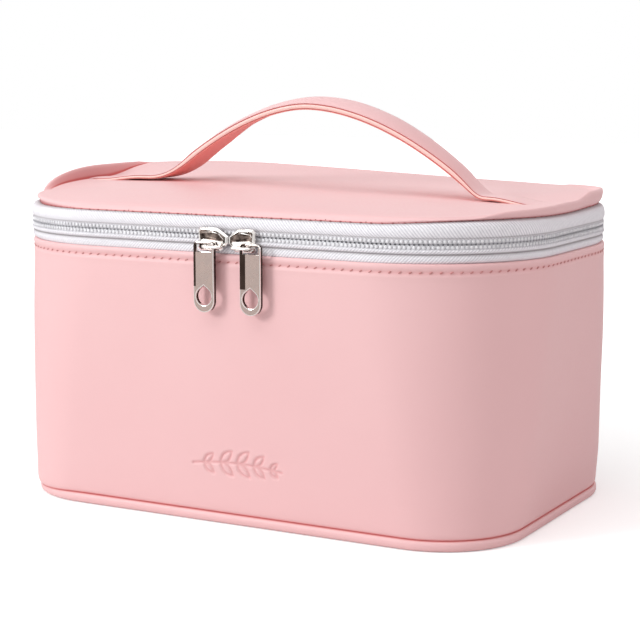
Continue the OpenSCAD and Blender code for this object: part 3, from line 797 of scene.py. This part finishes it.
def seamRise(x, y):
    # the lid's seam climbs a little round the two ends, and dips in the middle of the right one
    dip = zipper["rightDip"] * bump(y, -6, 42) * ease((x - 84) / 26)
    return zipper["leftSeam"] * ease((-x - 92) / 18) + zipper["rightSeam"] * ease((x - 62) / 40) - dip


def sweptZip(name, profile, materials, nodes, body):
    # profile points: out, height, painted shade, material of the band that follows; the last two may be left
    # out
    def place(column, out, z, shade=0, _=0):
        x, y, _ = zipPoint(column, out, z)
        nx, ny = outlineAt(column)[2:]
        # the tape is a little uneven along its length
        wander = 0.14 * noise.noise(Vector((x / 17, y / 17, z / 5))) + tapeSwell(x, z) if out > -1.3 else 0
        return (x + nx * wander, y + ny * wander, z + seamRise(x, y) * ease((z - 116.8) / 4)), shade

    rings, paintedShade = ringsFor(profile, zipColumns(zipper["cornerSteps"], zipper["sideSteps"]), place)
    bands = [(*row, 0, 0)[3] for row in profile]
    piece = gridPiece(name, rings, materials, closedAround=False, bands=bands, paintedShade=paintedShade)
    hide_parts(*nodes)
    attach(piece, body)


def makeZip():
    # outer face first, from low to high, then back down the inner face
    # the third numbers are painted shade in the tape's grooves and at its seams
    lower = [(-1.35, 98), (-1.35, 106.4, 1), (-0.85, 107.2, 0.6), (-0.5, 107.9), (-0.35, 108.8),
             (-0.45, 109.7), (-0.7, 110.3, 0.3), (-1.0, 110.65, 0.95), (-0.95, 110.95, 0.6),
             (-0.45, 111.3, 0.05), (-0.1, 111.75), (-0.15, 112.2), (-0.5, 112.5, 0.3, 1),
             (-0.78, 112.7, 0.2, 1), (-0.8, 113.95, 0.1, 1), (-0.95, 114.35, 0.3, 1), (-2.15, 114.25, 1),
             (-2.15, 106), (-2.15, 98)]
    upper = [(-2.15, 114.55, 1, 1), (-0.95, 114.45, 0.3, 1), (-0.8, 114.85, 0.1, 1), (-0.75, 116.1, 0.1),
             (-0.6, 116.35, 0.3), (-0.72, 116.7, 0.6), (-0.5, 117.05, 0.1), (-0.2, 117.6), (-0.12, 118.6),
             (-0.4, 119.8), (-1.1, 120.8, 0.05), (-case["lidInset"], 121.55, 0.8), (-3.35, 122.4, 1),
             (-4.1, 122.8), (-4.1, 121.6), (-2.4, 118.2), (-2.15, 117)]
    sweptZip("lowerTape", lower, [lowerTape, coilShadedBand], ["lower_zip_tape", "lower_zip_coil"],
             "case")
    sweptZip("upperTape", upper, [upperTape, coilShadedBand], ["upper_zip_tape", "upper_zip_coil"],
             "lid")
    turns = coilTree("coilTurns", zipper["lowerTurns"], coilNylon)
    # dark dots of painted shade along the gap between the coil rows
    gapShadeTree = coilTree("coilGapShadeTree", zipper["gapShadeDots"], coilGapShade)
    rows = (("lowerCoil", 113.3, -0.55, "case", "lowerTurns", turns),
            ("upperCoil", 115.5, -0.5, "lid", "upperTurns", turns),
            ("coilDots", 114.42, -0.68, "lid", "gapShadeDots", gapShadeTree))
    for name, z, out, body, sizes, tree in rows:
        def place(column, z=z, out=out):
            x = zipPoint(column, 0, z)[0]
            return zipPoint(column, out + tapeSwell(x, z), z), (*outlineAt(column)[2:], 0)
        columns = zipColumns(*zipper["coilSteps"])
        piece = grownPiece(name, columns, place, tree, zipper[sizes], coilNylon, closed=False)
        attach(piece, body)


makeZip()
print("zip")

# the lid
lid = {
    "cornerSteps": 26, "sideSteps": 30, "leather": 1.2,
    "shares": [0.99, 0.985, 0.965, 0.94, 0.91, 0.875, 0.83, 0.78, 0.72, 0.65, 0.57, 0.48, 0.39, 0.3, 0.21,
               0.13, 0.06, 0.01],
    # the right end's edge: level in front, then a peak at the back corner
    "rightFrom": 95, "rightOver": 14, "rightLevel": 4.4, "rightPeak": 3.2, "rightLean": 0.3,
    "leftSwell": 1.4, "rightSwell": 1.7, "leftLift": 1.1,
    "stitchInset": 1.9, "stitchZ": 121.72, "stitchSteps": (22, 30),
    "seamStitch": {"Pitch": 0.0042, "Stitch Length": 0.0011, "Thread Radius": 0.00028, "Hole Radius": 0.0002,
                   "Slant": 0.0, "Jitter": 0.2},
}


def edgeShare(y):
    return 1 - (1 - min(1, max(0, (y - case["riseStart"]) / case["riseRun"]))) ** case["risePower"]


def standShare(y):
    return edgeShare(y) * (1 - case["standLoss"] * ease((y - case["standStart"]) / case["standRun"]))


def planShare(x):
    return ease(x / case["width"] + 0.5)


def rightEnd(x, y=0):
    return ease((x - mix(lid["rightFrom"], lid["rightFrom"] - 20, ease((y - 20) / 20))) / lid["rightOver"])


def leftLift(x, y):
    # the front of the left end stands a little higher
    return lid["leftLift"] * ease((-x - 80) / 24) * (1 - edgeShare(y))


def edgeTop(x, y):
    # the crest of the lid's folded edge
    rise = mix(case["leftRise"], case["rightRise"], planShare(x)) * edgeShare(y)
    peak = 0.2 * ease((y + 50) / 45) + 0.8 * ease((y - 1) / 18) - 0.25 * ease((y - 32) / 30)
    right = lid["rightLevel"] + lid["rightPeak"] * peak
    return case["lidZ"] + mix(case["lidSide"] + rise, right, rightEnd(x, y)) + leftLift(x, y)


def panelEdge(x, y):
    # the panel meets the edge below its crest
    rise = mix(case["leftRise"], case["rightRise"], planShare(x)) * edgeShare(y)
    stand = mix(case["leftStand"], case["rightStand"], planShare(x)) * standShare(y)
    return case["lidZ"] + case["lidSide"] + rise - stand


def edgeStand(x, y):
    return max(0, edgeTop(x, y) - panelEdge(x, y) - leftLift(x, y))


def panelZ(x, edgeX, edgeY, share, lift=1):
    crown = case["lidZ"] + case["crown"] + case["crownTilt"] * x
    edge = panelEdge(edgeX, edgeY) + lift * leftLift(edgeX, edgeY)
    return mix(crown, edge, share ** case["domePower"])


def lidEdge(column, inset):
    return planAt(column, case["width"] - 2 * inset, case["depth"] - 2 * inset, case["corner"] - inset)


def softPanel(x, y):
    # the leather's own unevenness: a shallow dip where the strap is sewn, and slow waves
    dip = 0.6 * math.exp(-((abs(x) - 92) / 22) ** 2 - (y / 13) ** 2)
    return 0.35 * noise.noise(Vector((x / 38, y / 30, 7))) - dip


def leftEnd(x):
    return ease((-60 - x) / 40)


def makeLid():
    columns = columnsFor(lid["cornerSteps"], lid["sideSteps"])
    # (inset, share of the outer face's height, share of the stand on the inner face, painted shade on the
    # left)
    ridge = [(2.05, 0, 0, 0.9), (1.85, 0.07, 0, 0.5), (1.75, 0.18, 0, 0.08), (1.7, 0.42, 0, 0),
             (1.75, 0.7, 0, 0), (1.9, 0.88, 0, 0), (2.25, 0.98, 0, 0), (2.7, 1, 0, 0), (3.1, 1, 0.02, 0.05),
             (3.45, 1, 0.1, 0.3), (3.7, 1, 0.28, 0.5), (3.88, 1, 0.5, 0.55), (4.02, 1, 0.7, 0.6),
             (4.14, 1, 0.82, 0.9), (4.24, 1, 0.9, 1), (4.34, 1, 0.97, 1), (4.9, 1, 1, 0)]
    last = len(ridge) - 1

    def underPlace(column, share):
        x, y, _, _ = lidEdge(column, case["panelInset"])
        return (x * share, y * share, panelZ(x * share, x, y, share, 0) - lid["leather"]), 0

    def hemPlace(column, inset, z, shade):
        x, y, _, _ = lidEdge(column, inset)
        return (x, y, z + seamRise(x, y)), shade

    def edgePlace(column, k, inset, up, down, shade):
        ex, ey, nx, ny = lidEdge(column, case["lidInset"])
        stand, left = edgeStand(ex, ey), leftEnd(ex)
        sharp = ease(stand / 1.2)
        # in front the leather rolls straight on to the panel, more tightly at the left end
        turn = math.radians(90 * k / last)
        tight = 1 - 0.55 * left
        soft = mix(mix(5.2, 4.4, left), 1.95, max(0, math.cos(turn)) ** tight)
        x, y, _, _ = lidEdge(column, mix(soft, inset, sharp))
        top, seam = edgeTop(ex, ey), case["lidZ"] + seamRise(ex, ey)
        stood = seam + (top - seam) * up - stand * down
        rolled = seam + (top - 0.3 - seam) * math.sin(turn) ** tight
        z = mix(rolled, stood, sharp)
        push = 0.1 * noise.noise(Vector((x / 16, y / 16, z / 9)))
        fade = 1 - ease((k - mix(last - 3, 8, sharp)) / mix(3, 5, sharp))
        push += atEnds(ex, lid["leftSwell"], lid["rightSwell"]) * ease(4 * k / last) * fade
        push += lid["rightLean"] * rightEnd(ex) * max(0, nx) * up * ease((ey + 40) / 40)
        # painted shade on the ridge's inner face at the left end, and at the seam at its foot
        inner = shade * left * sharp if k > 7 else (shade if k < 3 else 0)
        return (x + nx * push, y + ny * push, z), inner

    def panelPlace(column, share):
        x, y, _, _ = lidEdge(column, case["panelInset"])
        z = panelZ(x * share, x, y, share) + softPanel(x * share, y * share) * ease((1 - share) * 12)
        z -= 0.3 * (1 - edgeShare(y)) * ease((share - 0.9) * 10)
        z += 0.35 * leftEnd(x) * bump(share, 0.985, 0.02)     # the panel's own turned edge
        return (x * share, y * share, z), 0.0

    # the underside from the middle outwards, the hem, the folded edge, and the panel back to the middle
    # the hem's last numbers and the edge's are painted shade, at the seam and on the ridge's inner face
    rings, paintedShade = [], []
    for place, levels in (
            (underPlace, [(share,) for share in [*reversed(lid["shares"][::3]), 1]]),
            (hemPlace, [(3.2, 122.9, 0), (3.2, 121.6, 0.5), (2.6, 121.3, 1)]),
            (edgePlace, [(k, *row) for k, row in enumerate(ridge)]),
            (panelPlace, [(share,) for share in lid["shares"][1:]])):
        made, dark = ringsFor(levels, columns, place)
        rings += made
        paintedShade += dark
    piece = gridPiece("lidSkin", rings, [skin], closedRing=False, paintedShade=paintedShade)
    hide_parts("lid_panel")
    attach(piece, "lid")

    def stitchPlace(column):
        x, y, nx, ny = lidEdge(column, lid["stitchInset"])
        return (x, y, lid["stitchZ"] + seamRise(x, y)), (nx, ny, 0)

    tree = stitchTree("lidStitching", lid["seamStitch"], threadRed, paintedHoleShade)
    columns = columnsFor(*lid["stitchSteps"])
    stitches = grownPiece("lidStitches", columns, stitchPlace, tree, lid["seamStitch"], threadRed)
    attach(stitches, "lid")


makeLid()
print("lid")

# the strap handle
strap = {
    "width": 16, "edge": 3.0, "flatEdge": 1.7, "crown": 0.9, "flatCrown": 0.25, "gap": 0.2,
    "apex": 160.1, "left": (-67.5, 1.75), "right": (77, 1.85), "thinRun": 14,     # foot and power of a flank
    # its ends are pressed into the padding; -1 is the left one
    "sinkFrom": 82, "sinkOver": {-1: 22, 1: 21}, "sink": {-1: 1.7, 1: 2.4},
    "steps": 150, "knee": {-1: 9, 1: 2.5},
    # x, degrees: how far it is turned about its front edge
    "roll": ((-111, 0), (-88, 0), (-74, 0), (-60, -0.5), (-45, 2.5), (-34, 8), (-20, 9), (0, 8), (15, 8),
             (35, 5), (50, 1), (70, -5), (80, -3), (90, 0), (111, 0)),
}


def strapSeat(x):
    edgeX = case["width"] / 2 - case["panelInset"]
    share = min(1, abs(x) / edgeX)
    seat = max(panelZ(x, math.copysign(edgeX, x), y / max(share, 0.4), share) for y in (-8, 0, 8))
    side = 1 if x > 0 else -1
    pressed = ease((abs(x) - strap["sinkFrom"]) / strap["sinkOver"][side])
    return seat + strap["gap"] - strap["sink"][side] * pressed


def strapArch(x):
    foot, power = strap["left"] if x < 0 else strap["right"]
    seat = strapSeat(foot)
    return seat + (strap["apex"] - seat) * (1 - abs(x / foot) ** power)


def strapLine(x):
    # seat and arch joined by a soft knee
    a, b, k = strapSeat(x), strapArch(x), strap["knee"][1 if x > 0 else -1]
    if x < strap["left"][0] - 14 or x > strap["right"][0] + 14:
        return a
    h = max(0, k - abs(a - b)) / k
    return max(a, b) + h * h * k * 0.25


def strapRoll(x):
    marks = strap["roll"]
    for (x0, r0), (x1, r1) in zip(marks, marks[1:]):
        if x0 <= x <= x1:
            return math.radians(mix(r0, r1, (x - x0) / (x1 - x0)))
    return 0.0


def makeStrap():
    end = case["width"] / 2 - case["panelInset"] - 0.5
    half = strap["width"] / 2
    columns = []
    for i in range(strap["steps"] + 1):
        x = mix(-end, end, i / strap["steps"])
        rise = (strapLine(x + 0.4) - strapLine(x - 0.4)) / 0.8
        tall = math.hypot(1, rise)
        arch = ease(min(x - strap["left"][0], strap["right"][0] - x) / strap["thinRun"])
        columns.append((x, strapLine(x), -rise / tall, 1 / tall, arch, strapRoll(x)))
    across = [i / 10 for i in range(-10, 11)]
    # a cut edge: share of the thickness, inwards, band going up, band going down
    side = [(0.04, 0.04, 1, 1), (0.12, 0.3, 2, 1), (0.19, 0.36, 2, 2), (0.25, 0.1, 3, 2), (0.5, -0.08, 3, 3),
            (0.75, 0.1, 3, 3), (0.81, 0.36, 2, 2), (0.88, 0.3, 0, 2), (0.96, 0.05, 0, 0)]
    # once round the section: share across, face, share of the thickness, inwards, band
    section = [(s, "under", 0, 0, 1) for s in across]
    section += [(1, "side", height, inwards, band) for height, inwards, band, _ in side]
    section += [(s, "top", 1, 0, 0) for s in reversed(across)]
    section += [(-1, "side", height, inwards, band) for height, inwards, _, band in reversed(side)]

    def place(column, share, face, height, inwards, _):
        x, z, nx, nz, arch, roll = column
        thick = mix(strap["flatEdge"], strap["edge"], arch)
        crown = mix(strap["flatCrown"], strap["crown"], arch)
        soft, shade = abs(share) ** 8, 0.0
        w, t = share * (half - inwards), thick * height
        if face != "side":
            w = share * (half - 0.35 * soft)
            t = 0.12 * soft
        if face == "top":
            t = thick + crown * (1 - share * share) - 0.12 * soft
            # painted shade on the top of the right flank, and along the top's two edges
            shade = 0.13 * ease((x - 20) / 40) * arch + (0.1 if abs(share) > 0.9 else 0.0)
        lift = t * math.cos(roll) + (w + half) * math.sin(roll)     # it turns about its front edge
        return (x + nx * lift, w * math.cos(roll) - t * math.sin(roll), z + nz * lift), shade

    rings, paintedShade = ringsFor(section, columns, place)
    piece = gridPiece("handleStrap", rings, [skin, skinDeep, skinEdge, skinBand], closedAround=False,
                      bands=[row[4] for row in section], paintedShade=paintedShade)
    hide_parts("handle_top_strap", "handle_core", "handle_under_strap")
    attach(piece, "lid")


makeStrap()
print("strap")

# hinge, lining and bindings
inside = {"cornerSteps": 20, "sideSteps": 22, "wander": 0.35, "hingeSteps": 60}


def makeHinge():
    steps = inside["hingeSteps"]
    half = case["width"] / 2 - case["corner"]

    def place(i, out, z, shade=0):
        wave = 0.12 * noise.noise(Vector((i / 5, z / 6, 1))) if z > 108 and out > -1.2 else 0
        return (mix(half, -half, i / steps), case["depth"] / 2 + out + wave, z), shade

    # the third numbers are painted shade in the grooves and at the seams
    outer = [(-1.35, 98), (-1.35, 106.8, 0.8), (-1.15, 107.8, 0.5), (-0.85, 110, 0.1), (-0.6, 112.5, 0.15),
             (-0.55, 114.5, 0.3), (-0.65, 116.5, 0.15), (-1.0, 119, 0.05), (-1.7, 120.8, 0.3),
             (-2.15, 121.3, 0.8), (-2.95, 121.3), (-1.5, 116.5), (-1.35, 114.5), (-1.5, 112), (-2.15, 107.4),
             (-2.15, 98)]
    rings, paintedShade = ringsFor(outer, range(steps + 1), place)
    strip = gridPiece("hingeStrip", rings, [skin], closedAround=False, paintedShade=paintedShade)
    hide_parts("hinge_strip")
    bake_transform(strip, "case", "lid", (0, 0.0755, 0.1085), (0, 0.0755, 0.1205))
    inner = [(-4.95, 98.6), (-4.95, 117.2), (-5.5, 117.2), (-5.6, 114), (-5.6, 110), (-5.5, 98.6)]
    rings, _ = ringsFor(inner, range(steps + 1), place)
    cloth = gridPiece("hingeLining", rings, [liningCloth], closedAround=False)
    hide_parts("hinge_lining")
    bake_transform(cloth, "case", "lid", (0, 0.0705, 0.1085), (0, 0.0705, 0.1205))


makeHinge()
print("hinge")


def makeInside():
    columns = columnsFor(inside["cornerSteps"], inside["sideSteps"])
    levels = [(106.4, -3.75), (106.4, -4.2), (104, -4.22), (99, -4.25), (90, -4.3)]
    levels += [(z, -4.35) for z in (80, 70, 60, 50, 40, 30, 20)]
    levels += [(12, -4.4), (8, -4.6), (6.2, -5.2), (5.0, -6.2), (4.4, -7.6)]

    def wallPlace(column, z, out):
        x, y, _ = wallPoint(column, z, out)
        nx, ny = outlineAt(column)[2:]
        wave = inside["wander"] * max(0, noise.noise(Vector((x / 18, y / 18, z / 40)))) * ease((z - 4) / 6)
        # painted shade at the foot of the lining's wall, where it meets the floor
        return (x - nx * wave, y - ny * wave, z), 0.5 * bump(z, 4.6, 2.2)

    rings, paintedShade = ringsFor(levels, columns, wallPlace)
    floorEdge = rings[-1]
    for share in (0.93, 0.8, 0.6, 0.35, 0.12, 0.01):
        spots = [(x * share, y * share) for x, y, _ in floorEdge]
        rings.append([(x, y, 4.25 + 0.15 * noise.noise(Vector((x / 20, y / 20, 2)))) for x, y in spots])
    rings += [[(x * share, y * share, 3.7) for x, y, _ in floorEdge] for share in (0.01, 0.6, 0.98)]
    rings += [[wallPoint(column, z, -3.7) for column in columns] for z in (6.5, 60)]
    paintedShade += [[0.0] * len(columns)] * (len(rings) - len(paintedShade))
    piece = gridPiece("caseLining", rings, [liningCloth], paintedShade=paintedShade)
    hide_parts("wall_lining", "base_lining")
    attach(piece, "case")

    def bindingRings(band):
        return [[zipPoint(column, out, z) for column in reversed(columns)] for out, z in band]

    band = [(-4.6, 100.4), (-4.35, 100.2), (-4.35, 106.3), (-2.5, 106.45), (-2.3, 106.7), (-2.5, 106.95),
            (-4.2, 107.02), (-4.75, 106.8), (-4.95, 106.3), (-4.98, 104), (-4.95, 100.7)]
    trim = gridPiece("wallBinding", bindingRings(band), [bindingCloth])
    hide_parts("wall_binding")
    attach(trim, "case")

    # the lid's inside: cloth under the foam, its edge held by a binding
    def lidPlace(column, share, facing):
        x, y, _, _ = lidEdge(column, case["panelInset"] + 0.1)
        wave = 0.3 * max(0, noise.noise(Vector((x * share / 20, y * share / 20, 9))))
        below = 4.25 + wave if facing else 3.65
        return (x * share, y * share, panelZ(x * share, x, y, share, 0) - below), 0

    shares = [(share, True) for share in (0.01, 0.1, 0.2, 0.32, 0.45, 0.58, 0.7, 0.8, 0.88, 0.94, 0.98, 1.0)]
    rings, _ = ringsFor(shares + [(share, False) for share in (1.0, 0.6, 0.01)], columns, lidPlace)
    cover = gridPiece("lidLining", rings, [liningCloth], closedRing=False)
    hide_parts("lid_lining")
    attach(cover, "lid")
    band = [(-4.7, 120.25), (-4.9, 120.0), (-4.9, 119), (-4.85, 117.8), (-4.6, 117.6), (-4.35, 117.8),
            (-4.35, 120.2)]
    hem = gridPiece("lidBinding", bindingRings(band), [bindingCloth])
    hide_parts("lid_binding")
    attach(hem, "lid")


makeInside()
print("inside")

# sliders, bails and pulls, drawn with the nose at x = 0 and the tail towards -x
metal = {
    "meetX": 6.5, "noseGap": 0.3, "centreZ": 112.8, "noseShift": -1.2, "long": {1: 1.03, -1: 0.9},
    "leftReach": 10.55, "rightReach": 9.75,
    "bailSpan": 7.6, "bailBend": 1.2, "bailFoot": 1.9, "wire": 0.6, "hookZ": 110.4, "bailOut": 5.85,
    "pullOut": 2.65, "pullThick": 2.0, "pullWidth": 9.2, "pullTop": 112.25, "pullLength": 27.3,
    "bar": 1.2, "windowTop": 111.05, "windowHeight": 2.5, "dropWidth": 6.8, "dropLow": 2.8, "tipRise": 1.25,
    # the width of the painted dark reflection on a facet at each pull's left side
    "bevel": 0.4, "darkReflectionLeft": {"Left": 1.15, "Right": 2.6},      # the dark facet on each pull's left side
}
# a slider's face, from its nose at (0, 0); the tail is towards -x
sliderOutline = [(0, -1.0), (0, 1.4), (-2.4, 3.1), (-4.8, 4.5), (-8.6, 4.7), (-12.0, 4.5), (-13.0, 3.4),
                 (-12.7, 0), (-13.0, -3.2), (-11.8, -4.2), (-7.5, -4.3), (-3.3, -4.2), (-1.5, -2.6)]


def besideNose(side, points):
    # side 1 is the left slider, -1 its mirror image on the right
    shift = metal["meetX"] - side * metal["noseGap"] / 2
    return [(shift + side * x, y, z) for x, y, z in points]


def stackedPlate(name, outline, layers, side, materials, bands=None):
    # the same outline at several depths, drawn in or let out; layers are (outwards, grow)
    cx = sum(p[0] for p in outline) / len(outline)
    cz = sum(p[1] for p in outline) / len(outline)
    rings = []
    for out, grow in layers:
        ring = []
        for x, z in outline:
            reach = math.hypot(x - cx, z - cz)
            k = (reach + grow) / reach
            ring.append(((cx + (x - cx) * k) * metal["long"][side], -case["depth"] / 2 - out,
                         metal["centreZ"] + cz + (z - cz) * k))
        ring = [(x + metal["noseShift"], y, z) for x, y, z in besideNose(side, ring)]
        rings.append(ring if side == 1 else list(reversed(ring)))
    piece = gridPiece(name, rings, materials, closedRing=False, bands=bands)
    for polygon in piece.data.polygons:
        polygon.use_smooth = False
    return piece


def joinPieces(name, parts):
    bpy.ops.object.select_all(action="DESELECT")
    for part in parts:
        part.select_set(True)
    bpy.context.view_layer.objects.active = parts[0]
    bpy.ops.object.join()
    parts[0].name = name
    return parts[0]


def tubePiece(name, points, radius, material, sides=12):
    # a round wire along a line of points
    path = [Vector(p) for p in points]
    rings = [[] for _ in range(sides)]
    up = Vector((0, 0, 1))
    for i, p in enumerate(path):
        ahead = (path[min(i + 1, len(path) - 1)] - path[max(i - 1, 0)]).normalized()
        across = ahead.cross(up)
        across = across.normalized() if across.length > 1e-4 else Vector((1, 0, 0))
        rise = across.cross(ahead).normalized()
        for j in range(sides):
            a = 2 * math.pi * j / sides
            q = p + across * (radius * math.cos(a)) + rise * (radius * math.sin(a))
            rings[j].append(tuple(q))
    return gridPiece(name, rings, [material], closedAround=False)


def pullMesh(name, centreX, darkReflectionLeft):
    # a flat bar with rounded corners, a window at the top and a drop-shaped hole below, bevelled all round
    half, top, length, bevel = metal["pullWidth"] / 2, metal["pullTop"], metal["pullLength"], metal["bevel"]
    low = top - length

    def arc(cx, cz, radius, start, end, steps):
        return [(cx + radius * math.cos(math.radians(mix(start, end, i / steps))),
                 cz + radius * math.sin(math.radians(mix(start, end, i / steps)))) for i in range(steps + 1)]

    outline = (arc(half - 2, top - 2, 2 - bevel, 0, 90, 6) + arc(-half + 2, top - 2, 2 - bevel, 90, 180, 6)
               + arc(0, low + half, half - bevel, 180, 360, 28))
    wide = half - metal["bar"] + bevel
    windowLow = metal["windowTop"] - metal["windowHeight"] - bevel
    window = [(-wide, metal["windowTop"] + bevel), (wide, metal["windowTop"] + bevel), (wide, windowLow),
              (-wide, windowLow)]
    radius = metal["dropWidth"] / 2
    dropZ = low + metal["dropLow"] + radius
    flank = 90 - math.degrees(math.acos(1 / metal["tipRise"]))
    drop = arc(0, dropZ, radius + bevel, 180 - flank, 360 + flank, 24)
    drop.append((0, dropZ + (radius + bevel) * metal["tipRise"]))
    curve = bpy.data.curves.new(name, "CURVE")
    curve.dimensions = "2D"
    curve.fill_mode = "BOTH"
    curve.extrude = (metal["pullThick"] / 2 - bevel) * mm
    curve.bevel_depth = bevel * mm
    curve.bevel_resolution = 1
    for loop in (outline, window, drop):
        spline = curve.splines.new("POLY")
        spline.points.add(len(loop) - 1)
        for point, (x, z) in zip(spline.points, loop):
            point.co = (x * mm, z * mm, 0, 1)
        spline.use_cyclic_u = True
    flat = linkObject(name + "Flat", curve)
    mesh = bpy.data.meshes.new_from_object(flat.evaluated_get(bpy.context.evaluated_depsgraph_get()))
    bpy.data.objects.remove(flat)
    shaped = bmesh.new()
    shaped.from_mesh(mesh)
    bmesh.ops.remove_doubles(shaped, verts=shaped.verts[:], dist=1e-6)
    cutX, cutZ = (-half + darkReflectionLeft) * mm, (dropZ + radius * 1.1) * mm
    for place, direction in (((cutX, 0, 0), (1, 0, 0)), ((0, cutZ, 0), (0, 1, 0))):
        bmesh.ops.bisect_plane(shaped, geom=shaped.verts[:] + shaped.edges[:] + shaped.faces[:],
                               plane_co=place, plane_no=direction, dist=1e-7)
    depth = -case["depth"] / 2 - metal["pullOut"] - metal["pullThick"] / 2
    for face in shaped.faces:
        middle = face.calc_center_median()
        # painted dark reflection on the side faces and on the facet at the left; the flat faces take the
        # painted warm reflection
        flatFront = abs(face.normal.z) > 0.95
        darkReflectionSide = abs(face.normal.z) < 0.3 and abs(face.normal.x) > 0.6
        darkReflectionFront = middle.x < cutX and middle.y > cutZ and face.normal.z > 0.4
        face.material_index = 2 if darkReflectionSide or darkReflectionFront else (1 if flatFront else 0)
        face.smooth = False
    for vertex in shaped.verts:
        x, z, y = vertex.co
        vertex.co = (x + centreX * mm, depth * mm - y, z)
    mesh.name = name
    mesh.materials.clear()      # before the faces' own slots are written
    for material in (nickel, warmReflectionNickel, darkReflectionNickel):
        mesh.materials.append(material)
    shaped.to_mesh(mesh)
    shaped.free()
    faceOut(mesh)
    return linkObject(name, mesh)


def makeSlider(side, label, reach):
    body, lower = "slider" + label, label.lower()
    # a bevelled plate with a bright rim round a sunken face painted near black as a dark reflection, and what
    # stands on and behind it; band 0 takes the first material, band 1 the second
    boss = [(-1.6, 0.3), (-3.6, 2.5), (-6.6, 3.2), (-11.0, 2.7), (-11.6, 1.6), (-8.6, 0.9), (-4.2, 0.3)]
    bridge = [(-1.7, -0.9), (-2.0, -0.3), (-4.4, -0.2), (-10.6, 0.3), (-11.6, -0.1), (-11.9, -0.9),
              (-11.5, -1.7), (-10.4, -2.1), (-6.0, -2.2), (-2.6, -3.0)]
    rear = [(-1, -3.2), (-12, -3.2), (-12, 3.2), (-1, 3.2)]
    post = [(-1.2, -0.3), (-4.8, -0.3), (-4.8, 0.3), (-1.2, 0.3)]
    plates = (
        ("Plate", sliderOutline, [(1.05, -0.1), (1.15, 0.0), (1.7, 0.0), (2.2, -0.55), (2.3, -1.0),
                                  (1.9, -1.35)], [nickel, sunkenDarkReflection], [0, 0, 0, 0, 1]),
        ("Boss", boss, [(1.6, 0.1), (2.15, 0.0), (2.4, -0.3), (2.3, -0.5)], [nickel, sunkenDarkReflection], [0, 0, 1]),
        ("Bridge", bridge, [(1.6, 0.1), (2.3, 0.0), (2.6, -0.3), (2.7, -0.7)], [nickel, darkReflectionNickel],
         [1, 0, 0]),
        ("Rear", rear, [(-3.45, 0), (-2.5, 0)], [warmReflectionNickel], None),
        ("Post", post, [(-2.6, 0), (1.2, 0)], [warmReflectionNickel], None))
    made = [stackedPlate(body + part, outline[::-1], layers, side, materials, bands)
            for part, outline, layers, materials, bands in plates]
    joined = joinPieces(body + "Body", made)
    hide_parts("slider_" + lower + "_body")
    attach(joined, "slider_" + lower)
    # the bail: out from the face, round a bend, across, and back in
    front = -case["depth"] / 2 - metal["bailOut"]
    span, bend, z = metal["bailSpan"] / 2, metal["bailBend"], metal["hookZ"]
    line = [(-reach, -case["depth"] / 2 - metal["bailFoot"], z), (-reach, front + bend + 0.6, z)]
    for i in range(7):
        a = math.radians(90 * i / 6)
        line.append((-reach + bend * (1 - math.cos(a)), front + bend * (1 - math.sin(a)), z))
    line += [(2 * (span - reach) - x, y, z) for x, y, z in reversed(line)]
    wire = tubePiece(body + "Bail", besideNose(side, line), metal["wire"], nickel)
    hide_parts("slider_" + lower + "_bail")
    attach(wire, "slider_" + lower)
    centreX = metal["meetX"] - side * metal["noseGap"] / 2 - side * reach
    tab = pullMesh("pull" + label, centreX, metal["darkReflectionLeft"][label])
    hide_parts("pull_" + lower)
    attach(tab, "pull_" + lower)


makeSlider(1, "Left", metal["leftReach"])
makeSlider(-1, "Right", metal["rightReach"])
print("sliders and pulls")

# foam boards, which the leather and lining hide
for boardName in ("wall_board", "base_board", "lid_board"):
    board = bpy.data.objects[boardName]
    board.data.materials.clear()
    board.data.materials.append(foamBoard)
